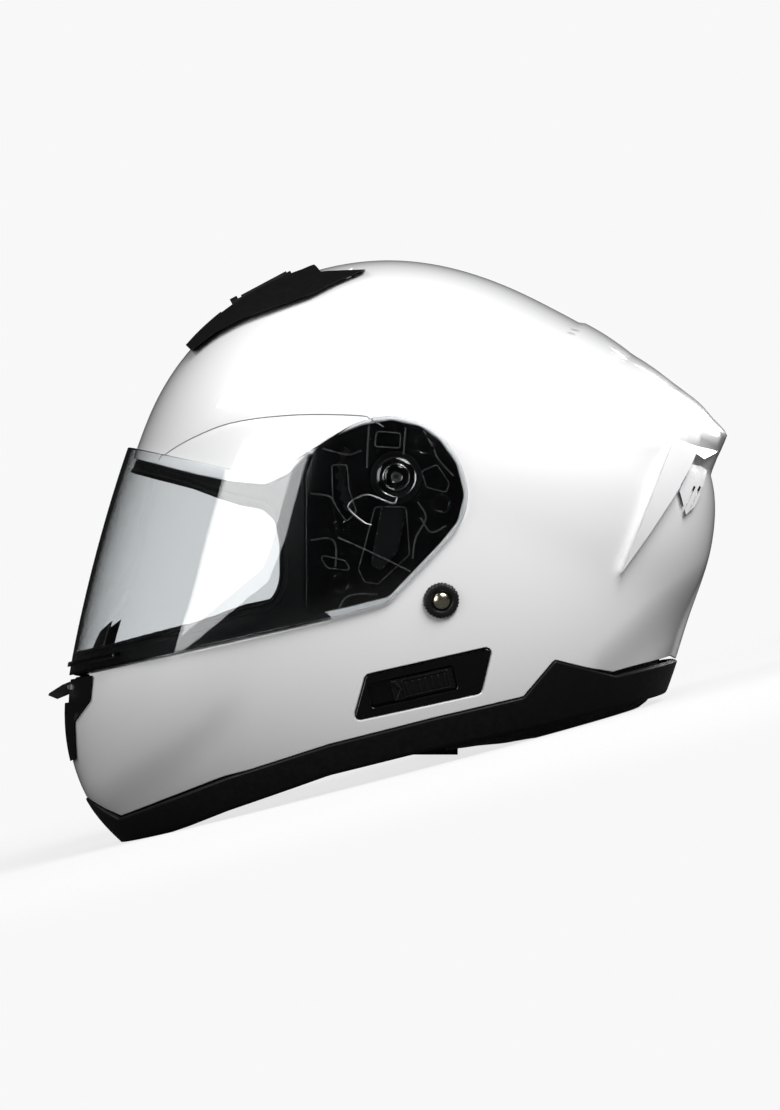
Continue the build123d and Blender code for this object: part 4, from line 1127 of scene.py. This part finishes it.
for side, hand in hands:
    pockets = [circle(0, 0, mechanism["hubPocket"]), rounded(mechanism["leverPocket"], 2.0)]
    pockets += [rounded(mechanism[k], 1.2) for k in ("arcPocket", "lowerPocket", "rearPocket", "topPocket")]
    parts = [plate("mechanism.base." + hand, mechanismOutline, 0, mechanism["depth"], mechanism["rim"],
                   pockets,
                   side, 2.8, baseHeight),
             plate("mechanism.floor." + hand, grown(mechanismOutline, -1.5), 118.4, mechanism["floor"] - 0.4,
                   0.3,
                   (), side, 6.0, floorHeight)]
    # ribs and pocket edges are tubes in a lighter black than the base: painted highlight along the
    # mechanism's edges
    ribs = [lineOnBase("mechanism.rib", openSpline(line, 0.8), 0.1, ellipseProfile(0.42, 0.6, 12), side)
            for line in mechanism["ribs"]]
    ribs += [lineOnBase("mechanism.pocketEdge", resampled(np.vstack([line, line[:1]]), 0.8)[:-1], 0.0,
                        ellipseProfile(0.3, 0.4, 10), side, closed=True) for line in pockets[1:]]
    fitted(joined("mechanism.ribs." + hand, ribs), ribPaintedHighlight, "helmet", "matte_black")
    parts += [lathe("mechanism.boss", skinFrame(y, z, side, mechanism["inset"]), mechanism["boss"], 40)
              for y, z in mechanism["screws"]]
    fitted(joined("mechanism.base." + hand, parts), glossBlack, "helmet", "matte_black", "visor_base_" + hand)
    lever = plate("mechanism.lever." + hand, rounded(mechanism["lever"], 2.2), *mechanism["leverLevels"], 0.5,
                  (),
                  side)
    outer, inner = mechanism["ringRadii"]
    ring = plate("mechanism.leverRing." + hand, circle(0, 0, outer), *mechanism["ringLevels"], 0.5,
                 [circle(0, 0, inner)], side)
    fitted(joined("mechanism.lever." + hand, [lever, ring]), satinBlack, "release_lever_" + hand,
           "matte_black",
           "release_lever_" + hand)
    quadrant = plate("mechanism.quadrant." + hand, toothedArc(), *mechanism["quadrantLevels"], 0.25, (), side)
    fitted(quadrant, satinBlack, "helmet", "matte_black", "detent_quadrant_" + hand)
    hubPlace = (np.zeros(3), np.array([0.0, 1, 0]), np.array([0.0, 0, 1]), np.array([float(side), 0, 0]))
    hub = lathe("mechanism.hub." + hand, hubPlace, mechanism["hub"], 72)
    fitted(hub, clearHub, "helmet", "clear_visor", "visor_hub_" + hand)
    collar = lathe("visor.collar." + hand, hubPlace, mechanism["collar"], 72)
    fitted(collar, clearHub, "visor", "clear_visor")
    screw = lathe("mechanism.hubScrew." + hand, hubPlace, mechanism["hubScrew"], 36)
    fitted(screw, darkSteel, "helmet", "steel", "hub_screw_" + hand)
    heads = [lathe("mechanism.screw", skinFrame(y, z, side, mechanism["inset"] + 0.4), mechanism["screw"], 32)
             for y, z in mechanism["screws"]]
    fitted(joined("mechanism.screws." + hand, heads), darkSteel, "helmet", "steel", "base_screws_" + hand)
    spring = lineOnBase("mechanism.spring." + hand, openSpline(mechanism["spring"], 0.6), 0.5,
                        ellipseProfile(0.45, 0.45, 12, 2.0), side)
    fitted(spring, steel, "helmet", "steel")
    knobPlace = skinFrame(*mechanism["knob"], side, mechanism["inset"])
    knob = lathe("mechanism.knob." + hand, knobPlace, mechanism["knobShape"], 48)
    fitted(knob, clearHub, "helmet", "clear_visor")
print("mechanism")

# side panel and slider
panel = {"centre": (13.3, -102.0), "slope": 12.7, "slider": 31.0, "travel": 11.0, "ribs": 7, "ribPitch": 3.2}


def panelPlace(u, v):
    # places in the panel's own direction: u along it, v across
    c, s = math.cos(math.radians(panel["slope"])), math.sin(math.radians(panel["slope"]))
    return np.stack([panel["centre"][0] + u * c - v * s, panel["centre"][1] + u * s + v * c], -1)


def panelBox(u0, u1, v0, v1, radius):
    corners = [panelPlace(u, v) for u, v in ((u0, v0), (u1, v0), (u1, v1), (u0, v1))]
    return rounded(corners, radius)


def panelPart(name, outline, depth, rim, inset, holes=(), spacing=4.0):
    # plate that follows the shell's side at an inset
    return plate(name, outline, 0, depth, rim, holes, 1, spacing, lambda y, z: sideWidth(y, z, inset))


half = panel["slider"] / 2
slot = panelBox(-half - panel["travel"] - 0.6, half + 0.6, -6.0, 6.0, 1.5)
panelPlate = panelPart("panel.plate", grown(panelOutline, -0.25), 3.6, 0.8, 0.0, [slot], 3.0)
panelFloor = panelPart("panel.floor", grown(slot, 1.2), 1.2, 0.2, 3.0)
fitted(joined("panel.plate", [panelPlate, panelFloor]), glossBlack, "helmet", "gloss_black", "side_panel")
sliderParts = [panelPart("panel.slider", panelBox(-half, half, -5.5, 5.5, 1.0), 1.8, 0.5, 0.9)]
frameOutline = panelBox(-10.2, 13.4, -4.6, 4.6, 0.8)
sliderParts.append(panelPart("panel.frame", frameOutline, 1.2, 0.3, 0.3, [grown(frameOutline, -0.8)]))
for k in range(panel["ribs"]):
    u = panel["ribPitch"] * k - 8.0
    sliderParts.append(panelPart("panel.rib", panelBox(u - 0.5, u + 0.5, -3.2, 3.2, 0.4), 1.0, 0.3, 0.4))
for v in (-4.8, 4.8):   # two strokes that meet in a V
    lip = rounded([panelPlace(-half + 0.6, v), panelPlace(-half + 3.6, 0.0), panelPlace(-half + 5.0, 0.0),
                   panelPlace(-half + 2.2, v)], 0.2)
    sliderParts.append(panelPart("panel.lip", lip, 1.6, 0.3, 0.0))
fitted(joined("panel.slider", sliderParts), satinBlack, "sun_slider", "matte_black", "sun_slider")
print("side panel")

# vents, fin and other moulded parts
mouldedParts = (
    # name, CAD form, material, body, slot, bevel in mm
    ("topVent.base", "top_vent_base", satinBlack, "helmet", "gloss_black", 0.5),
    ("topVent.slider", "top_vent_slider", satinBlack, "top_vent_slider", "matte_black", 0.3),
    ("brow.inlet", "brow_inlet", inletGrey, "helmet", "inlet_grey", 0.2),
    ("chinVent.body", "chin_vent_body", satinBlack, "helmet", "gloss_black", 0.5),
    ("chinVent.flap", "chin_vent_flap", satinBlack, "chin_vent_flap", "matte_black", 0.3),
    ("rear.fin", "rear_fin", paint, "helmet", "shell_paint", 0.4),
    ("rear.grille.left", "exhaust_grille_left", grilleWhite, "helmet", "grille_white", 0.2),
    ("rear.grille.right", "exhaust_grille_right", grilleWhite, "helmet", "grille_white", 0.2),
    ("visor.tab", "visor_lift_tab", tabPlastic, "visor", "visor_tab", 0.4),
    ("sunVisor.shield", "sun_visor", sunTint, "sun_visor", "sun_tint", 0.2),
    ("breath.guard", "breath_guard", satinBlack, "helmet", "matte_black", 0.4),
    ("buckle.frame", "buckle_frame", satinBlack, "helmet", "matte_black", 0.5),
    ("buckle.lever", "buckle_lever", redPlastic, "buckle_lever", "red_plastic", 0.3),
    ("ratchet.strip", "ratchet_tongue", satinBlack, "helmet", "matte_black", 0.2),
    ("foam.liner", "eps_liner", foamBeads, "helmet", "foam", 0),
    ("foam.chin", "eps_chin_block", foamBeads, "helmet", "foam", 0),
)
for values in mouldedParts:
    dressed(*values)
for name in ("flap_pins", "buckle_pin", "sun_visor_pin_left", "sun_visor_pin_right", "strap_anchor_left",
             "strap_anchor_right"):
    nodes[name].data.materials.clear()
    nodes[name].data.materials.append(steel)
print("moulded parts")

# soft pads
pads = {
    # voxel size, pressure, how far a point may move, mm; how much the starting shape shrinks, mm
    "cheek_pad_left": {"voxel": 4.5, "pressure": 4.0, "cap": 5.0, "shrink": 2.2},
    "cheek_pad_right": {"voxel": 4.5, "pressure": 4.0, "cap": 5.0, "shrink": 2.2},
    "crown_pad": {"voxel": 5.0, "pressure": 3.0, "cap": 4.0, "shrink": 1.2},
    "neck_roll": {"voxel": 4.5, "pressure": 3.0, "cap": 4.0, "shrink": 1.6},
}


def puffed(cadNode, name, voxel, pressure, cap, shrink):
    # pad from its CAD form: remeshed, drawn in a little, blown up as cloth, capped, subdivided once
    mesh = nodes[cadNode].data.copy()
    piece = placed(name, mesh)
    sharpen(piece, 60)
    bpy.context.view_layer.objects.active = piece
    mesh.remesh_voxel_size = voxel / 1000
    bpy.ops.object.select_all(action="DESELECT")
    piece.select_set(True)
    bpy.ops.object.voxel_remesh()
    mesh = piece.data
    n = len(mesh.vertices)
    co, no = np.zeros(n * 3, np.float32), np.zeros(n * 3, np.float32)
    mesh.vertices.foreach_get("co", co)
    mesh.vertices.foreach_get("normal", no)
    start = (co - no * shrink / 1000).reshape(-1, 3)
    mesh.vertices.foreach_set("co", start.ravel())
    cloth = piece.modifiers.new("blow", "CLOTH")
    cloth.settings.use_pressure = True
    cloth.settings.uniform_pressure_force = pressure
    cloth.settings.effector_weights.gravity = 0
    cloth.settings.quality = 5
    cloth.collision_settings.use_collision = False
    cloth.collision_settings.use_self_collision = False
    for frameNumber in range(1, 21):
        bpy.context.scene.frame_set(frameNumber)
    done = piece.evaluated_get(bpy.context.evaluated_depsgraph_get())
    end = np.zeros(n * 3, np.float32)
    done.data.vertices.foreach_get("co", end)
    piece.modifiers.clear()
    move = end.reshape(-1, 3) - start
    length = np.linalg.norm(move, axis=1, keepdims=True)
    start = start + move * np.minimum(1, cap / 1000 / np.maximum(length, 1e-9))
    mesh.vertices.foreach_set("co", start.astype(np.float32).ravel())
    bpy.context.scene.frame_set(1)
    mesh.update()
    rounds = piece.modifiers.new("rounds", "SUBSURF")
    rounds.levels = rounds.render_levels = 1
    bpy.ops.object.modifier_apply(modifier="rounds")
    piece.data.polygons.foreach_set("use_smooth", np.ones(len(piece.data.polygons), bool))
    return piece


for cadNode, settings in pads.items():
    pad = puffed(cadNode, "pad." + cadNode, **settings)
    fitted(pad, meshFabric if "cheek" in cadNode or "crown" in cadNode else brushedFabric, "helmet",
           "liner_fabric",
           cadNode)
    print("pad", cadNode, len(pad.data.polygons))

# chin curtain and straps
strap = {"width": 22.0, "thickness": 1.8, "y": 18.0, "level": -136.2,
         "path": [(113.6, -50), (107.6, -72), (84, -122), (70, -136.2)], "leftEnd": 50.2, "rightEnd": 20.0}


def band(name, line, width, thickness, side):
    # flat webbing through (x, z) points with rounded bends, width along y, edges rounded
    bends = openSpline(line, 2.0) if len(line) > 3 else resampled(line, 2.0)
    path = np.column_stack([bends[:, 0], np.full(len(bends), strap["y"]), bends[:, 1]])
    across = np.tile([0.0, 1.0, 0.0], (len(path), 1))
    upwards = np.cross(across, unit(np.gradient(path, axis=0)))
    return swept(name, path, across, upwards, ellipseProfile(width / 2, thickness / 2, 28, 5.0),
                 mirror=side < 0)


for side, hand in hands:
    line = strap["path"] + [(strap["leftEnd"] if side > 0 else strap["rightEnd"], strap["level"])]
    piece = band("strap." + hand, line, strap["width"], strap["thickness"], side)
    fitted(piece, webbing, "helmet", "webbing", "strap_" + hand)
sleeve = band("strap.sleeve", [(54, strap["level"]), (14, strap["level"])], 27, 4.8, -1)
fitted(sleeve, brushedFabric, "helmet", "matte_black", "strap_sleeve")
curtain = dressed("chin.curtain", "chin_curtain", meshFabric, "helmet", "liner_fabric", 0.4)
print("straps")

# studio
studio = {
    "background": 0.939,     # what the camera sees around the floor
    "through": 1.0,          # how bright the room is through the visor
    "ambient": 0.16,         # room light on matt surfaces
    "floorGlow": 0.8,        # share of the floor's tone that shadows don't touch
    "reflected": 0.012,      # room in gloss, dark so that only the lamps show
    # azimuth from the camera towards the face side, elevation, distance, width, height, watts
    "mirror": (43.5, 18, 2.2, 1.46, 1.32, 21),   # softbox that only gloss sees
    "lamps": {"key": (-42, 38, 2.4, 1.5, 1.2, 78), "face": (45, 22, 2.2, 1.2, 1.1, 12),
              "topFront": (80, 58, 2.4, 1.3, 1.0, 18), "rearRim": (-140, 10, 2.4, 1.2, 0.7, 16)},
}
target = Vector((0.0, 0.0, 0.13))


def roomLight():
    # pale to the camera and through glass, dimmer to paint, so that gloss shows the lamps;
    # dark again for light that left the glass after a glossy bounce
    world = bpy.data.worlds.new("studio")
    bpy.context.scene.world = world
    world.use_nodes = True
    tree = world.node_tree
    tree.nodes.clear()
    path = node(tree, "ShaderNodeLightPath")
    exit = node(tree, "ShaderNodeOutputWorld")
    shader = None
    for ray, key in ((None, "ambient"), ("Is Glossy Ray", "reflected"), ("Is Transmission Ray", "through"),
                     ("Glossy Depth", "reflected"), ("Is Camera Ray", "background")):
        tone = node(tree, "ShaderNodeBackground", {"Color": (1, 1, 1, 1), "Strength": studio[key]})
        if shader is None:
            shader = tone
            continue
        mix = node(tree, "ShaderNodeMixShader")
        wire(tree, (path, ray, mix, "Fac"), (shader, 0, mix, 1), (tone, 0, mix, 2))
        shader = mix
    wire(tree, (shader, 0, exit, "Surface"))


def softbox(name, azimuth, elevation, distance, width, height, watts):
    # lamp on a sphere round the helmet, turned to its middle
    a, e = math.radians(azimuth), math.radians(elevation)
    place = target + Vector((math.cos(a) * math.cos(e), -math.sin(a) * math.cos(e), math.sin(e))) * distance
    light = bpy.data.lights.new(name, "AREA")
    light.shape = "RECTANGLE"
    light.size, light.size_y = width, height
    light.energy = watts
    piece = placed("lamp." + name, light)
    piece.location = place
    piece.rotation_euler = (target - place).to_track_quat("-Z", "Y").to_euler()
    return piece


def floorMaterial():
    # pale matt floor: its own light tops it up to the room's tone, it fades out at its edge, gloss sees it
    # dimmer
    material, tree, shader = finish("paleFloor", (0.8, 0.8, 0.8), 0.9)
    shader.inputs["Specular IOR Level"].default_value = 0.0
    place = node(tree, "ShaderNodeTexCoord")
    scale = node(tree, "ShaderNodeMapping", {"Scale": (1.2, 1.2, 1.2)})
    ramp = node(tree, "ShaderNodeTexGradient", gradient_type="SPHERICAL")
    soft = node(tree, "ShaderNodeMapRange", {"From Max": 0.7}, interpolation_type="SMOOTHSTEP")
    speck = node(tree, "ShaderNodeTexNoise", {"Scale": 220.0, "Detail": 3.0})
    bump = node(tree, "ShaderNodeBump", {"Strength": 0.05, "Distance": 0.0003})
    path = node(tree, "ShaderNodeLightPath")
    glow = node(tree, "ShaderNodeEmission", {"Color": (1, 1, 1, 1), "Strength": studio["background"]})
    dim = node(tree, "ShaderNodeBsdfDiffuse", {"Color": (0.08, 0.08, 0.08, 1)})
    clear = node(tree, "ShaderNodeBsdfTransparent")
    lit, seen, fade = (node(tree, "ShaderNodeMixShader", {"Fac": studio["floorGlow"]}) for k in range(3))
    exit = [n for n in tree.nodes if n.type == "OUTPUT_MATERIAL"][0]
    for a, b in ((place.outputs["Object"], scale.inputs["Vector"]),
                 (scale.outputs["Vector"], ramp.inputs["Vector"]),
                 (ramp.outputs["Fac"], soft.inputs["Value"]),
                 (place.outputs["Object"], speck.inputs["Vector"]),
                 (speck.outputs["Fac"], bump.inputs["Height"]),
                 (bump.outputs["Normal"], shader.inputs["Normal"]),
                 (shader.outputs[0], lit.inputs[1]), (glow.outputs[0], lit.inputs[2]),
                 (path.outputs["Is Camera Ray"], seen.inputs["Fac"]), (dim.outputs[0], seen.inputs[1]),
                 (lit.outputs[0], seen.inputs[2]), (soft.outputs["Result"], fade.inputs["Fac"]),
                 (clear.outputs[0], fade.inputs[1]), (seen.outputs[0], fade.inputs[2]),
                 (fade.outputs[0], exit.inputs["Surface"])):
        tree.links.new(a, b)
    return material


def floorDisc(radius=0.9, rings=24, segments=96):
    # flat disc: radius grows ring by ring
    r, a = np.meshgrid(np.linspace(0, radius, rings), np.linspace(0, 2 * np.pi, segments, endpoint=False),
                       indexing="ij")
    points = np.stack([r * np.cos(a), r * np.sin(a), np.full(r.shape, -0.0002)], -1).reshape(-1, 3)
    i, j = np.meshgrid(np.arange(1, rings - 1), np.arange(segments), indexing="ij")
    j2 = (j + 1) % segments
    faces = np.stack([i * segments + j, (i + 1) * segments + j, (i + 1) * segments + j2, i * segments + j2],
                     -1)
    hub = np.stack([np.zeros(segments, int), segments + np.arange(segments), segments
                    + (np.arange(segments) + 1) % segments], -1)
    mesh = bpy.data.meshes.new("floor")
    mesh.from_pydata(points.tolist(), [], faces.reshape(-1, 4).tolist() + hub.tolist())
    piece = placed("floor", mesh)
    mesh.materials.append(floorMaterial())


roomLight()
for name, values in studio["lamps"].items():
    softbox(name, *values)
mirror = softbox("mirror", *studio["mirror"])
mirror.visible_diffuse = False
floorDisc()

view = {"distance": 3.4, "fieldWidth": 0.3978, "sensor": 36, "aim": (-3.06, -38.25)}
cameraData = bpy.data.cameras.new("camera")
cameraData.sensor_fit = "HORIZONTAL"
cameraData.sensor_width = view["sensor"]
cameraData.lens = view["sensor"] * view["distance"] / view["fieldWidth"]
cameraData.clip_end = 50
camera = placed("camera", cameraData)
camera.location = Vector(standing(np.array([0.0, *view["aim"]]))) + Vector((view["distance"], 0, 0))
up = Vector(turned(np.array([0.0, 0.0, 1.0])))
back = Vector((1, 0, 0))
camera.rotation_euler = Matrix((up.cross(back), up, back)).transposed().to_euler()
bpy.context.scene.camera = camera
bpy.context.scene.view_settings.view_transform = "Standard"
print("studio and camera")
